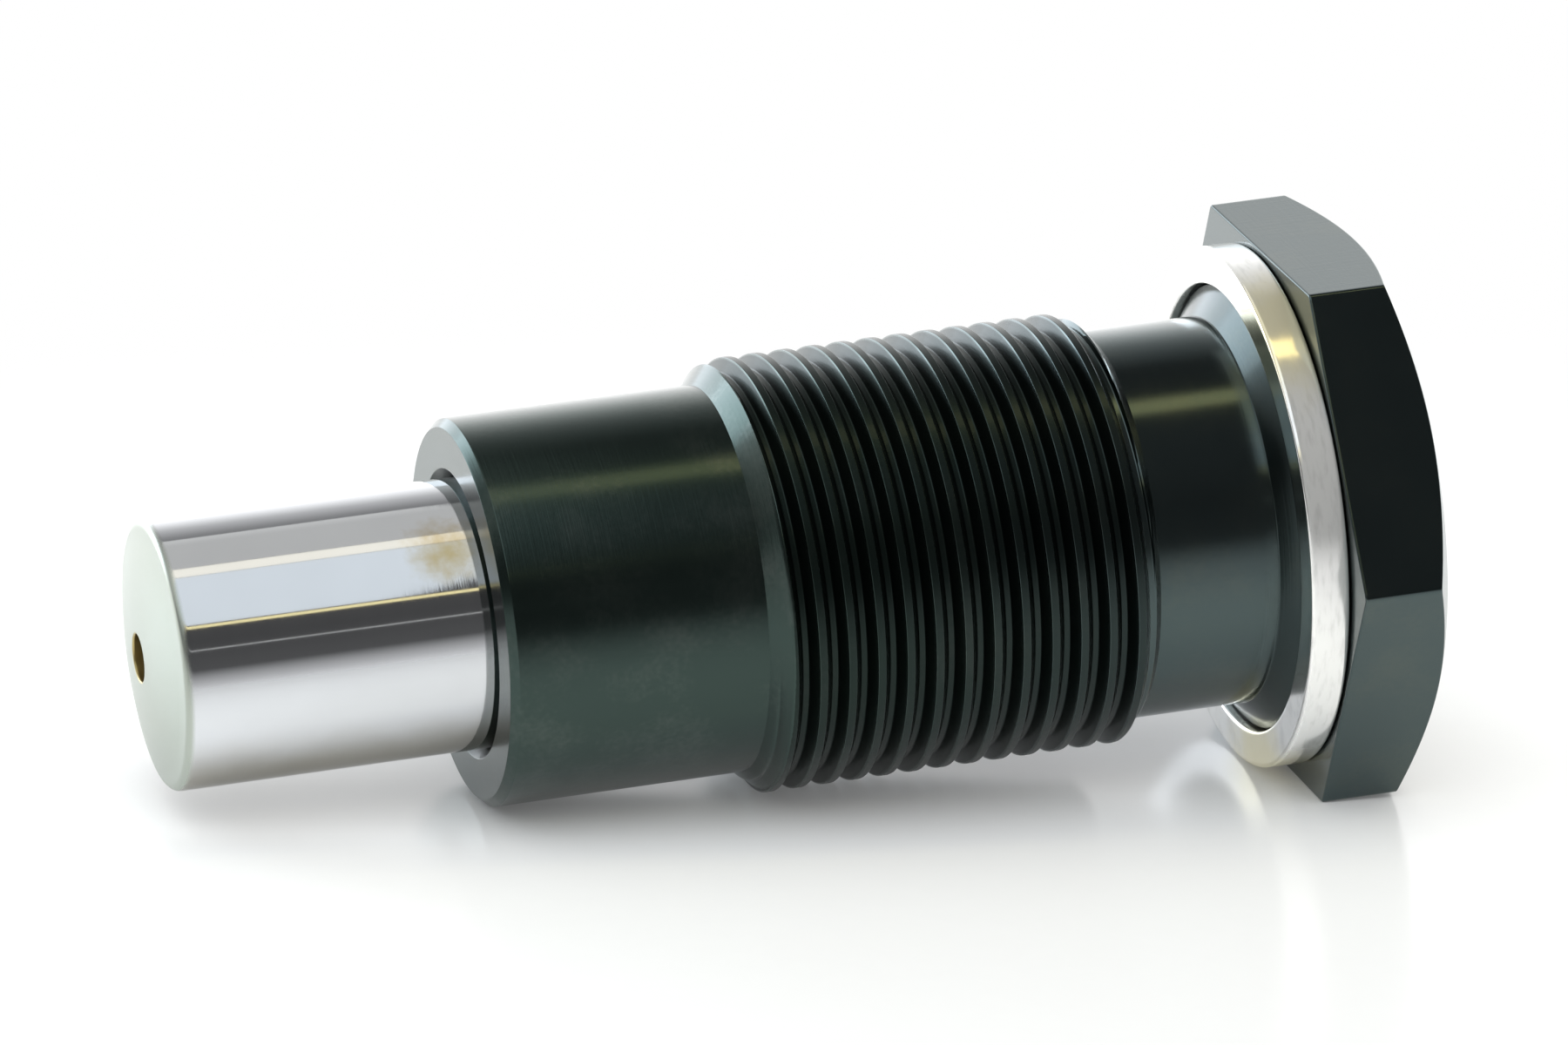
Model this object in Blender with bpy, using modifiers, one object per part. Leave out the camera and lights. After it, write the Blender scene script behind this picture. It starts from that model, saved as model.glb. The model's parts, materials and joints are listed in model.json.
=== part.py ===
"""Screw-in hydraulic timing chain tensioner, lying on its side as it comes to rest.

Every piece is turned about the tensioner's own axis, which is local Z of an empty.
Stations along that axis are measured from the sealing face of the head towards the tip.
"""
import math

import bmesh
import bpy
from mathutils import Matrix, Vector

MM = 0.001

# Head: a hexagon bar end, chamfered on its outer face only
HEX_ACROSS_FLATS = 27.0 * MM
HEAD_THICKNESS = 5.05 * MM
HEAD_CHAMFER_ANGLE = math.radians(25.5)
HEAD_FACE_MARGIN = 0.2 * MM

# Collar that centres the sealing washer, its cone inside the washer, and the neck behind the thread
COLLAR_STEP = 0.4 * MM
COLLAR_LENGTH = 2.6 * MM
COLLAR_CONE = 1.1 * MM
NECK_LENGTH = 6.2 * MM
NECK_UNDERCUT = 0.38 * MM

# Thread, right-handed
THREAD_MAJOR_DIAMETER = 21.85 * MM
THREAD_PITCH = 1.5 * MM
THREAD_DEPTH = 0.7 * MM
THREAD_CREST_FLAT = 0.375 * MM
THREAD_FLANK_ANGLE = math.radians(30.0)
THREAD_LENGTH = 20.25 * MM
THREAD_LEAD = 0.95 * MM

# Sleeve in front of the thread, with the chamfered mouth of the bore
SLEEVE_UNDERCUT = 0.48 * MM
SLEEVE_LENGTH = 13.15 * MM
SLEEVE_CHAMFER = 0.4 * MM
MOUTH_CHAMFER_WIDTH = 0.45 * MM
MOUTH_CHAMFER_DEPTH = 0.6 * MM

# Sealing washer
WASHER_THICKNESS = 2.0 * MM
WASHER_BAND = 1.85 * MM
WASHER_BORE_CLEARANCE = 0.1 * MM
WASHER_EDGE = 0.2 * MM

# Plunger
PLUNGER_DIAMETER = 13.6 * MM
PLUNGER_PROJECTION = 16.5 * MM
PLUNGER_LENGTH = 33.6 * MM
HOLLOW_SHARE = 0.72
CROWN_THICKNESS = 3.5 * MM
CROWN_RISE = 0.8 * MM
CROWN_EDGE = 0.5 * MM
CROWN_HOLE_DIAMETER = 2.4 * MM
TAIL_CHAMFER = 0.4 * MM
GUIDE_CLEARANCE = 0.05 * MM

# Snap ring in the plunger's tail, which runs in the wider bore behind the guide land
RING_WIRE_DIAMETER = 0.9 * MM
RING_GROOVE_DEPTH = 0.65 * MM
RING_GROOVE_PLAY = 0.1 * MM
RING_BORE_CLEARANCE = 0.2 * MM
RING_OPENING_ANGLE = math.radians(24.0)
TAIL_LAND = 1.0 * MM

# Oil gallery and feed hole behind the valve
GALLERY_DIAMETER = 7.0 * MM
FEED_HOLE_DIAMETER = 3.0 * MM
SEAT_SHOULDER_DEPTH = 1.8 * MM
GALLERY_SUMP = 0.5 * MM
DRILL_POINT_ANGLE = math.radians(31.0)

# Non-return valve: the ball is a share of the plunger's hollow, and its seat's hole a share of the ball
BALL_SHARE = 0.41
SEAT_THICKNESS = 2.0 * MM
SEAT_RADIAL_GAP = 0.06 * MM
SEAT_HOLE_SHARE = 0.6
SEAT_CONE_WIDTH = 0.45 * MM
BALL_LIFT = 0.5 * MM
CAGE_BALL_CLEARANCE = 0.3 * MM
CAGE_WALL = 0.4 * MM
CAGE_FLANGE_THICKNESS = 0.6 * MM
CAGE_VENT_DIAMETER = 1.1 * MM
CAGE_VENT_COUNT = 4
VALVE_SPRING_ROOM = 1.6 * MM
VALVE_SPRING_WIRE = 0.3 * MM
VALVE_SPRING_TURNS = 3.5
VALVE_SPRING_INSET = 0.35 * MM

# Main spring, with wire that is a share of the hollow, and the filler that it presses against the crown
SPRING_WIRE_SHARE = 0.112
SPRING_TURNS = 12
SPRING_END_TURNS = 1
SPRING_CLEARANCE = 0.25 * MM
FILLER_FLANGE_THICKNESS = 1.2 * MM
FILLER_CLEARANCE = 0.4 * MM
FILLER_STEM_LENGTH = 24.0 * MM
FILLER_HOLE_DIAMETER = 1.6 * MM

# Gap left between pieces that seat on each other, and facets in a turn
SEAT_GAP = 0.05 * MM
TURN_STEPS = 40
SMALL_STEPS = 24
WIRE_STEPS = 12
SWEEP_MARGIN = 0.4 * MM
MERGE_DISTANCE = 1e-7
SHARP_ANGLE = math.radians(25.0)

# Radii that follow from the sizes above
HEX_INRADIUS = HEX_ACROSS_FLATS / 2
HEX_CORNER_RADIUS = HEX_INRADIUS / math.cos(math.pi / 6)
CREST_RADIUS = THREAD_MAJOR_DIAMETER / 2
ROOT_RADIUS = CREST_RADIUS - THREAD_DEPTH
SLEEVE_RADIUS = ROOT_RADIUS - SLEEVE_UNDERCUT
NECK_RADIUS = ROOT_RADIUS - NECK_UNDERCUT
COLLAR_RADIUS = CREST_RADIUS + COLLAR_STEP
WASHER_BORE_RADIUS = COLLAR_RADIUS + WASHER_BORE_CLEARANCE
WASHER_RADIUS = WASHER_BORE_RADIUS + WASHER_BAND
PLUNGER_RADIUS = PLUNGER_DIAMETER / 2
HOLLOW_RADIUS = HOLLOW_SHARE * PLUNGER_RADIUS
GUIDE_RADIUS = PLUNGER_RADIUS + GUIDE_CLEARANCE
RING_GROOVE_RADIUS = PLUNGER_RADIUS - RING_GROOVE_DEPTH
RING_RADIUS = RING_GROOVE_RADIUS + SEAT_GAP + RING_WIRE_DIAMETER / 2
BORE_RADIUS = RING_RADIUS + RING_WIRE_DIAMETER / 2 + RING_BORE_CLEARANCE
GALLERY_RADIUS = GALLERY_DIAMETER / 2
SPRING_WIRE_DIAMETER = SPRING_WIRE_SHARE * 2 * HOLLOW_RADIUS
SPRING_RADIUS = HOLLOW_RADIUS - SPRING_CLEARANCE - SPRING_WIRE_DIAMETER / 2
SPRING_INNER_RADIUS = SPRING_RADIUS - SPRING_WIRE_DIAMETER / 2
FILLER_RADIUS = SPRING_INNER_RADIUS - FILLER_CLEARANCE
BALL_RADIUS = BALL_SHARE * HOLLOW_RADIUS
CAGE_BORE_RADIUS = BALL_RADIUS + CAGE_BALL_CLEARANCE
CAGE_RADIUS = CAGE_BORE_RADIUS + CAGE_WALL
CAGE_FLANGE_RADIUS = SPRING_RADIUS + SPRING_WIRE_DIAMETER / 2
SEAT_HOLE_RADIUS = SEAT_HOLE_SHARE * BALL_RADIUS
SEAT_CONE_RADIUS = SEAT_HOLE_RADIUS + SEAT_CONE_WIDTH
VALVE_SPRING_RADIUS = BALL_RADIUS - VALVE_SPRING_INSET

# Stations along the axis that follow from the sizes above
HEAD_FACE = -HEAD_THICKNESS
COLLAR_FACE = COLLAR_LENGTH
THREAD_REAR = COLLAR_FACE + NECK_LENGTH
THREAD_FRONT = THREAD_REAR + THREAD_LENGTH
MOUTH = THREAD_FRONT + SLEEVE_LENGTH
SLEEVE_EDGE = MOUTH - SLEEVE_CHAMFER
TIP = MOUTH + PLUNGER_PROJECTION
TAIL = TIP - PLUNGER_LENGTH
RING_GROOVE_WIDTH = RING_WIRE_DIAMETER + 2 * RING_GROOVE_PLAY
RING_STATION = TAIL + TAIL_LAND + RING_GROOVE_WIDTH / 2
GUIDE_REAR = RING_STATION + RING_WIRE_DIAMETER / 2 + SEAT_GAP
CROWN_UNDERSIDE = TIP - CROWN_THICKNESS
FEED_STATION = COLLAR_FACE + NECK_LENGTH / 2
BORE_FLOOR = FEED_STATION + FEED_HOLE_DIAMETER / 2 + SEAT_SHOULDER_DEPTH
GALLERY_FLOOR = FEED_STATION - FEED_HOLE_DIAMETER / 2 - GALLERY_SUMP
GALLERY_POINT = GALLERY_FLOOR - GALLERY_RADIUS * math.tan(DRILL_POINT_ANGLE)
SEAT_BACK = BORE_FLOOR + SEAT_GAP
SEAT_FRONT = SEAT_BACK + SEAT_THICKNESS
BALL_STATION = SEAT_FRONT - SEAT_CONE_RADIUS + (BALL_RADIUS + SEAT_GAP) * math.sqrt(2)
CAGE_BACK = SEAT_FRONT + SEAT_GAP
CAGE_FLANGE_FRONT = CAGE_BACK + CAGE_FLANGE_THICKNESS
CAGE_ROOF = BALL_STATION + BALL_RADIUS + BALL_LIFT + VALVE_SPRING_ROOM
FILLER_FRONT = CROWN_UNDERSIDE - SEAT_GAP
FILLER_FLANGE_BACK = FILLER_FRONT - FILLER_FLANGE_THICKNESS


def clear_scene():
    """Remove what the file starts with."""
    for obj in list(bpy.data.objects):
        bpy.data.objects.remove(obj, do_unlink=True)


def new_collection(name):
    collection = bpy.data.collections.new(name)
    bpy.context.scene.collection.children.link(collection)
    return collection


def principled(name, color, roughness, metallic):
    """A Principled material of one finish."""
    material = bpy.data.materials.new(name)
    material.use_nodes = True
    shader = material.node_tree.nodes["Principled BSDF"]
    shader.inputs["Base Color"].default_value = (*color, 1.0)
    shader.inputs["Roughness"].default_value = roughness
    shader.inputs["Metallic"].default_value = metallic
    return material


def place(name, data, collection, parent, material=None, station=0.0):
    """Make an object on the tensioner's axis."""
    obj = bpy.data.objects.new(name, data)
    collection.objects.link(obj)
    obj.parent = parent
    obj.location = (0.0, 0.0, station)
    if material is not None:
        data.materials.append(material)
    return obj


def baked_mesh(obj, name):
    """The evaluated object as a closed mesh of its own; the object itself is removed."""
    depsgraph = bpy.context.evaluated_depsgraph_get()
    mesh = bpy.data.meshes.new_from_object(obj.evaluated_get(depsgraph), depsgraph=depsgraph)
    mesh.name = name
    bpy.data.objects.remove(obj, do_unlink=True)
    return mesh


def outline_object(outline):
    """A closed or axis-to-axis outline of (radius, height) points in the XZ plane."""
    mesh = bpy.data.meshes.new("outline")
    points = [(radius, 0.0, height) for radius, height in outline]
    ends_on_axis = outline[0][0] == 0.0 and outline[-1][0] == 0.0
    edges = [(i, i + 1) for i in range(len(points) - 1)]
    if not ends_on_axis:
        edges.append((len(points) - 1, 0))
    mesh.from_pydata(points, edges, [])
    obj = bpy.data.objects.new("outline", mesh)
    bpy.context.scene.collection.objects.link(obj)
    return obj


def add_screw(obj, steps, turns=1, rise=0.0):
    screw = obj.modifiers.new("Screw", 'SCREW')
    screw.axis = 'Z'
    screw.angle = 2 * math.pi
    screw.steps = steps
    screw.render_steps = steps
    screw.iterations = turns
    screw.screw_offset = rise
    screw.use_merge_vertices = rise == 0.0
    screw.merge_threshold = MERGE_DISTANCE
    screw.use_smooth_shade = True
    return screw


def turned_mesh(name, outline, steps=TURN_STEPS):
    """A turned solid: the outline runs down its outer side and up its inner side."""
    profile = outline_object(outline)
    add_screw(profile, steps)
    mesh = baked_mesh(profile, name)
    mesh.shade_smooth()
    mesh.set_sharp_from_angle(angle=SHARP_ANGLE)
    return mesh


def arc(center_radius, center_height, radius, start, end, steps):
    """Points on an arc in the outline's plane; angles are measured from outward to up."""
    points = []
    for i in range(steps + 1):
        angle = start + (end - start) * i / steps
        points.append((center_radius + radius * math.cos(angle), center_height + radius * math.sin(angle)))
    return points


def wire_object(name, points, wire_diameter, collection, parent, material):
    """A round wire with filled ends along the points."""
    curve = bpy.data.curves.new(name, 'CURVE')
    curve.dimensions = '3D'
    curve.bevel_depth = wire_diameter / 2
    curve.bevel_resolution = 2
    curve.use_fill_caps = True
    spline = curve.splines.new('POLY')
    spline.points.add(len(points) - 1)
    for point, position in zip(spline.points, points):
        point.co = (*position, 1.0)
    spline.use_smooth = True
    return place(name, curve, collection, parent, material)


def boolean(obj, cutter, operation):
    modifier = obj.modifiers.new(cutter.name, 'BOOLEAN')
    modifier.operation = operation
    modifier.solver = 'EXACT'
    modifier.object = cutter
    return modifier


def hide_cutter(obj):
    obj.hide_render = True
    obj.display_type = 'WIRE'
    return obj


def cylinder_cutter(name, radius, length, cutters, parent, matrix, segments=SMALL_STEPS):
    """A straight round or polygonal bar, centred where the matrix puts it."""
    mesh = bpy.data.meshes.new(name)
    work = bmesh.new()
    bmesh.ops.create_cone(
        work, cap_ends=True, segments=segments, radius1=radius, radius2=radius, depth=length, matrix=matrix
    )
    work.to_mesh(mesh)
    work.free()
    return hide_cutter(place(name, mesh, cutters, parent))


def groove_cutter(cutters, parent):
    """The thread's groove: a trapezium swept along a right-hand helix, closed at both ends."""
    sweep_radius = CREST_RADIUS + SWEEP_MARGIN
    root_half = (THREAD_PITCH - THREAD_CREST_FLAT) / 2 - THREAD_DEPTH * math.tan(THREAD_FLANK_ANGLE)
    outer_half = root_half + (sweep_radius - ROOT_RADIUS) * math.tan(THREAD_FLANK_ANGLE)
    turns = math.ceil(THREAD_LENGTH / THREAD_PITCH) + 2
    start = THREAD_PITCH * (math.floor(THREAD_REAR / THREAD_PITCH) - 0.5)
    section = [
        (sweep_radius, start + outer_half),
        (sweep_radius, start - outer_half),
        (ROOT_RADIUS, start - root_half),
        (ROOT_RADIUS, start + root_half),
    ]
    profile = outline_object(section)
    add_screw(profile, TURN_STEPS, turns, THREAD_PITCH)
    mesh = baked_mesh(profile, "thread_groove")
    work = bmesh.new()
    work.from_mesh(mesh)
    open_edges = [edge for edge in work.edges if edge.is_boundary]
    bmesh.ops.holes_fill(work, edges=open_edges)
    bmesh.ops.recalc_face_normals(work, faces=work.faces)
    work.to_mesh(mesh)
    work.free()
    return hide_cutter(place("thread_groove", mesh, cutters, parent))


def body_outline():
    """Gallery point, up the bore to the mouth, then down the outside to the head's face."""
    blank_radius = HEX_CORNER_RADIUS + SWEEP_MARGIN
    head_rim = HEX_INRADIUS - HEAD_FACE_MARGIN
    chamfer_top = HEAD_FACE + (blank_radius - head_rim) * math.tan(HEAD_CHAMFER_ANGLE)
    return [
        (0.0, GALLERY_POINT),
        (GALLERY_RADIUS, GALLERY_FLOOR),
        (GALLERY_RADIUS, BORE_FLOOR),
        (BORE_RADIUS, BORE_FLOOR),
        (BORE_RADIUS, GUIDE_REAR),
        (GUIDE_RADIUS, GUIDE_REAR),
        (GUIDE_RADIUS, MOUTH - MOUTH_CHAMFER_DEPTH),
        (GUIDE_RADIUS + MOUTH_CHAMFER_WIDTH, MOUTH),
        (SLEEVE_RADIUS - SLEEVE_CHAMFER, MOUTH),
        (SLEEVE_RADIUS, SLEEVE_EDGE),
        (SLEEVE_RADIUS, THREAD_FRONT),
        (CREST_RADIUS, THREAD_FRONT - THREAD_LEAD),
        (CREST_RADIUS, THREAD_REAR + THREAD_LEAD),
        (NECK_RADIUS, THREAD_REAR),
        (NECK_RADIUS, COLLAR_FACE),
        (COLLAR_RADIUS, COLLAR_FACE - COLLAR_CONE),
        (COLLAR_RADIUS, 0.0),
        (blank_radius, 0.0),
        (blank_radius, chamfer_top),
        (head_rim, HEAD_FACE),
        (0.0, HEAD_FACE),
    ]


def make_body(parts, cutters, parent):
    """Head, collar, neck, thread, sleeve and blind bore, turned from one hexagon bar."""
    steel = principled("black_oxide_steel", (0.028, 0.034, 0.032), 0.32, 1.0)
    mesh = turned_mesh("tensioner_body", body_outline())
    body = place("tensioner_body", mesh, parts, parent, steel)
    bar_length = 2 * (TIP + HEAD_THICKNESS)
    hex_bar = cylinder_cutter("hexagon_bar", HEX_CORNER_RADIUS, bar_length, cutters, parent, Matrix(), 6)
    boolean(body, hex_bar, 'INTERSECT')
    boolean(body, groove_cutter(cutters, parent), 'DIFFERENCE')
    feed_place = Matrix.Translation((0.0, SLEEVE_RADIUS, FEED_STATION)) @ Matrix.Rotation(math.pi / 2, 4, 'X')
    feed = cylinder_cutter(
        "oil_feed", FEED_HOLE_DIAMETER / 2, 2 * (SLEEVE_RADIUS - SEAT_THICKNESS), cutters, parent, feed_place
    )
    boolean(body, feed, 'DIFFERENCE')
    return body


def make_washer(parts, parent):
    """Sealing washer round the collar, with rounded rims."""
    aluminium = principled("washer_aluminium", (0.78, 0.78, 0.76), 0.28, 1.0)
    back = SEAT_GAP
    front = back + WASHER_THICKNESS
    rim = WASHER_RADIUS - WASHER_EDGE
    outline = arc(rim, front - WASHER_EDGE, WASHER_EDGE, math.pi / 2, 0.0, 3)
    outline += arc(rim, back + WASHER_EDGE, WASHER_EDGE, 0.0, -math.pi / 2, 3)
    outline += [(WASHER_BORE_RADIUS, back), (WASHER_BORE_RADIUS, front)]
    return place("sealing_washer", turned_mesh("sealing_washer", outline), parts, parent, aluminium)


def crown_outline():
    """The domed tip from its hole outwards, then the rounded edge."""
    rim_radius = PLUNGER_RADIUS - CROWN_EDGE
    hole_radius = CROWN_HOLE_DIAMETER / 2
    rim_station = TIP - CROWN_RISE
    steps = 4
    points = []
    for i in range(steps + 1):
        radius = hole_radius + (rim_radius - hole_radius) * i / steps
        points.append((radius, TIP - CROWN_RISE * (radius / rim_radius) ** 2))
    edge = arc(rim_radius, rim_station - CROWN_EDGE, CROWN_EDGE, math.pi / 2, 0.0, 4)
    return points + edge[1:]


def make_plunger(parts, parent):
    """Hollow ground piston with an oil hole in its crown and a ring groove in its tail."""
    ground = principled("ground_steel", (0.72, 0.71, 0.69), 0.16, 1.0)
    groove_front = RING_STATION + RING_GROOVE_WIDTH / 2
    groove_rear = RING_STATION - RING_GROOVE_WIDTH / 2
    outline = crown_outline()
    outline += [
        (PLUNGER_RADIUS, groove_front),
        (RING_GROOVE_RADIUS, groove_front),
        (RING_GROOVE_RADIUS, groove_rear),
        (PLUNGER_RADIUS, groove_rear),
        (PLUNGER_RADIUS, TAIL + TAIL_CHAMFER),
        (PLUNGER_RADIUS - TAIL_CHAMFER, TAIL),
        (HOLLOW_RADIUS, TAIL),
        (HOLLOW_RADIUS, CROWN_UNDERSIDE),
        (CROWN_HOLE_DIAMETER / 2, CROWN_UNDERSIDE),
    ]
    return place("plunger", turned_mesh("plunger", outline), parts, parent, ground)


def make_retaining_ring(parts, parent):
    """Open snap ring in the plunger's tail groove."""
    spring_steel = principled("ring_spring_steel", (0.36, 0.35, 0.34), 0.35, 1.0)
    sweep = 2 * math.pi - RING_OPENING_ANGLE
    points = []
    for i in range(TURN_STEPS + 1):
        angle = RING_OPENING_ANGLE / 2 + sweep * i / TURN_STEPS
        points.append((RING_RADIUS * math.cos(angle), RING_RADIUS * math.sin(angle), RING_STATION))
    return wire_object("retaining_ring", points, RING_WIRE_DIAMETER, parts, parent, spring_steel)


def coil_points(radius, bottom, top, turns, closed_turns, wire_diameter):
    """Centre line of a compression spring whose end turns lie nearly shut."""
    closed_rise = closed_turns * (wire_diameter + SEAT_GAP)
    open_turns = turns - 2 * closed_turns
    open_rise = (top - bottom) - 2 * closed_rise
    count = round(turns * WIRE_STEPS)
    points = []
    for i in range(count + 1):
        turn = turns * i / count
        into_open = min(max(turn - closed_turns, 0.0), open_turns)
        in_ends = turn - into_open
        height = bottom + into_open * open_rise / open_turns
        if closed_turns > 0:
            height += in_ends * closed_rise / closed_turns
        angle = 2 * math.pi * turn
        points.append((radius * math.cos(angle), radius * math.sin(angle), height))
    return points


def make_main_spring(parts, parent):
    """Coil spring between the valve cage's flange and the filler's flange."""
    wire = principled("main_spring_wire", (0.30, 0.29, 0.28), 0.38, 1.0)
    end_room = SPRING_WIRE_DIAMETER / 2 + SEAT_GAP
    points = coil_points(
        SPRING_RADIUS,
        CAGE_FLANGE_FRONT + end_room,
        FILLER_FLANGE_BACK - end_room,
        SPRING_TURNS,
        SPRING_END_TURNS,
        SPRING_WIRE_DIAMETER,
    )
    return wire_object("main_spring", points, SPRING_WIRE_DIAMETER, parts, parent, wire)


def make_filler(parts, parent):
    """Insert that fills the hollow plunger, with a flange against the crown."""
    polyamide = principled("filler_polyamide", (0.70, 0.66, 0.55), 0.5, 0.0)
    flange_radius = HOLLOW_RADIUS - SPRING_CLEARANCE
    hole_radius = FILLER_HOLE_DIAMETER / 2
    stem_end = FILLER_FLANGE_BACK - FILLER_STEM_LENGTH
    outline = [
        (flange_radius, FILLER_FRONT),
        (flange_radius, FILLER_FLANGE_BACK),
        (FILLER_RADIUS, FILLER_FLANGE_BACK),
        (FILLER_RADIUS, stem_end + TAIL_CHAMFER),
        (FILLER_RADIUS - TAIL_CHAMFER, stem_end),
        (hole_radius, stem_end),
        (hole_radius, FILLER_FRONT),
    ]
    return place("volume_filler", turned_mesh("volume_filler", outline, SMALL_STEPS), parts, parent, polyamide)


def make_valve_seat(parts, parent):
    """Valve seat disc on the bore's floor, with a conical seat for the ball."""
    hardened = principled("hardened_seat_steel", (0.45, 0.44, 0.42), 0.3, 1.0)
    radius = BORE_RADIUS - SEAT_RADIAL_GAP
    outline = [
        (radius, SEAT_FRONT),
        (radius, SEAT_BACK),
        (SEAT_HOLE_RADIUS, SEAT_BACK),
        (SEAT_HOLE_RADIUS, SEAT_FRONT - SEAT_CONE_WIDTH),
        (SEAT_CONE_RADIUS, SEAT_FRONT),
    ]
    return place("valve_seat", turned_mesh("valve_seat", outline), parts, parent, hardened)


def make_check_ball(parts, parent):
    """Ball of the non-return valve, on its seat."""
    bearing = principled("bearing_ball_steel", (0.62, 0.61, 0.60), 0.08, 1.0)
    mesh = bpy.data.meshes.new("check_ball")
    work = bmesh.new()
    bmesh.ops.create_uvsphere(work, u_segments=20, v_segments=12, radius=BALL_RADIUS)
    work.to_mesh(mesh)
    work.free()
    mesh.shade_smooth()
    return place("check_ball", mesh, parts, parent, bearing, BALL_STATION)


def make_valve_cage(parts, cutters, parent):
    """Pressed cap over the ball, with a flange under the main spring and oil vents in its side."""
    sheet = principled("cage_sheet_steel", (0.50, 0.49, 0.46), 0.4, 1.0)
    roof_top = CAGE_ROOF + CAGE_WALL
    vent_radius = CAGE_VENT_DIAMETER / 2
    outline = [
        (vent_radius, roof_top),
        (CAGE_RADIUS - CAGE_WALL, roof_top),
        (CAGE_RADIUS, CAGE_ROOF),
        (CAGE_RADIUS, CAGE_FLANGE_FRONT),
        (CAGE_FLANGE_RADIUS, CAGE_FLANGE_FRONT),
        (CAGE_FLANGE_RADIUS, CAGE_BACK),
        (CAGE_BORE_RADIUS, CAGE_BACK),
        (CAGE_BORE_RADIUS, CAGE_ROOF),
        (vent_radius, CAGE_ROOF),
    ]
    cage = place("valve_cage", turned_mesh("valve_cage", outline, SMALL_STEPS), parts, parent, sheet)
    vent_length = 2 * (CAGE_RADIUS + SWEEP_MARGIN)
    for i in range(CAGE_VENT_COUNT // 2):
        turn = Matrix.Rotation(math.pi * i * 2 / CAGE_VENT_COUNT, 4, 'Z')
        lie = Matrix.Rotation(math.pi / 2, 4, 'X')
        lift = Matrix.Translation((0.0, 0.0, BALL_STATION))
        vent = cylinder_cutter(
            f"cage_vent_{i + 1}", vent_radius, vent_length, cutters, parent, lift @ turn @ lie, WIRE_STEPS
        )
        boolean(cage, vent, 'DIFFERENCE')
    return cage


def make_valve_spring(parts, parent):
    """Light spring that keeps the ball on its seat."""
    wire = principled("valve_spring_wire", (0.40, 0.39, 0.38), 0.35, 1.0)
    ball_angle = math.asin(VALVE_SPRING_RADIUS / (BALL_RADIUS + VALVE_SPRING_WIRE / 2 + SEAT_GAP))
    bottom = BALL_STATION + (BALL_RADIUS + VALVE_SPRING_WIRE / 2 + SEAT_GAP) * math.cos(ball_angle)
    top = CAGE_ROOF - VALVE_SPRING_WIRE / 2 - SEAT_GAP
    points = coil_points(VALVE_SPRING_RADIUS, bottom, top, VALVE_SPRING_TURNS, 0, VALVE_SPRING_WIRE)
    return wire_object("valve_spring", points, VALVE_SPRING_WIRE, parts, parent, wire)


def resting_outline():
    """The rims that can touch the floor, from the head to the tip, as (station, radius)."""
    return [
        (0.0, HEX_INRADIUS),
        (SEAT_GAP + WASHER_THICKNESS - WASHER_EDGE, WASHER_RADIUS),
        (COLLAR_FACE - COLLAR_CONE, COLLAR_RADIUS),
        (THREAD_FRONT - THREAD_LEAD, CREST_RADIUS),
        (SLEEVE_EDGE, SLEEVE_RADIUS),
        (TIP - CROWN_RISE - CROWN_EDGE, PLUNGER_RADIUS),
    ]


def resting_tilt():
    """Slope of the line that the part lies on: the first rim that it tips forward onto."""
    rims = resting_outline()
    rear = max(rims[:3], key=lambda rim: rim[1])
    slopes = [(rear[1] - radius) / (station - rear[0]) for station, radius in rims if station > rear[0]]
    return math.atan(min(slopes))


def lay_down(frame):
    """Turn local Z towards the tip, low end first, with a hexagon flat facing down."""
    frame.rotation_euler = (0.0, -(math.pi / 2 + resting_tilt()), 0.0)
    bpy.context.view_layer.update()


def settle(frame, parts):
    """Put the part's lowest point on the floor and the middle of its box over the origin."""
    depsgraph = bpy.context.evaluated_depsgraph_get()
    points = []
    for obj in parts.objects:
        if obj.type == 'EMPTY':
            continue
        solid = obj.evaluated_get(depsgraph)
        mesh = solid.to_mesh()
        points += [solid.matrix_world @ vertex.co for vertex in mesh.vertices]
        solid.to_mesh_clear()
    low = Vector(min(point[axis] for point in points) for axis in range(3))
    high = Vector(max(point[axis] for point in points) for axis in range(3))
    middle = (low + high) / 2
    frame.location -= Vector((middle.x, middle.y, low.z))
    bpy.context.view_layer.update()


def new_empty(name, collection, parent=None):
    empty = bpy.data.objects.new(name, None)
    empty.empty_display_size = HEX_INRADIUS
    collection.objects.link(empty)
    empty.parent = parent
    return empty


def main():
    clear_scene()
    parts = new_collection("timing_chain_tensioner")
    cutters = new_collection("cutters")
    frame = new_empty("tensioner_axis", parts)
    slide = new_empty("plunger_slide", parts, frame)
    lift = new_empty("check_ball_lift", parts, frame)
    make_body(parts, cutters, frame)
    make_washer(parts, frame)
    make_valve_seat(parts, frame)
    make_valve_cage(parts, cutters, frame)
    make_valve_spring(parts, frame)
    make_main_spring(parts, frame)
    make_plunger(parts, slide)
    make_retaining_ring(parts, slide)
    make_filler(parts, slide)
    make_check_ball(parts, lift)
    lay_down(frame)
    settle(frame, parts)


main()
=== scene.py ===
"""Studio scene of a screw-in hydraulic timing chain tensioner, lying on its side on a pale floor.

Every piece is turned or wound about the tensioner's own axis. Stations are measured along that
axis from the sealing face of the head towards the tip, and angles round it start at the top.
"""
import json
import math

import bmesh
import bpy
import numpy as np
from bpy.props import FloatProperty, FloatVectorProperty, IntProperty, PointerProperty
from mathutils import Matrix, Vector


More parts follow.
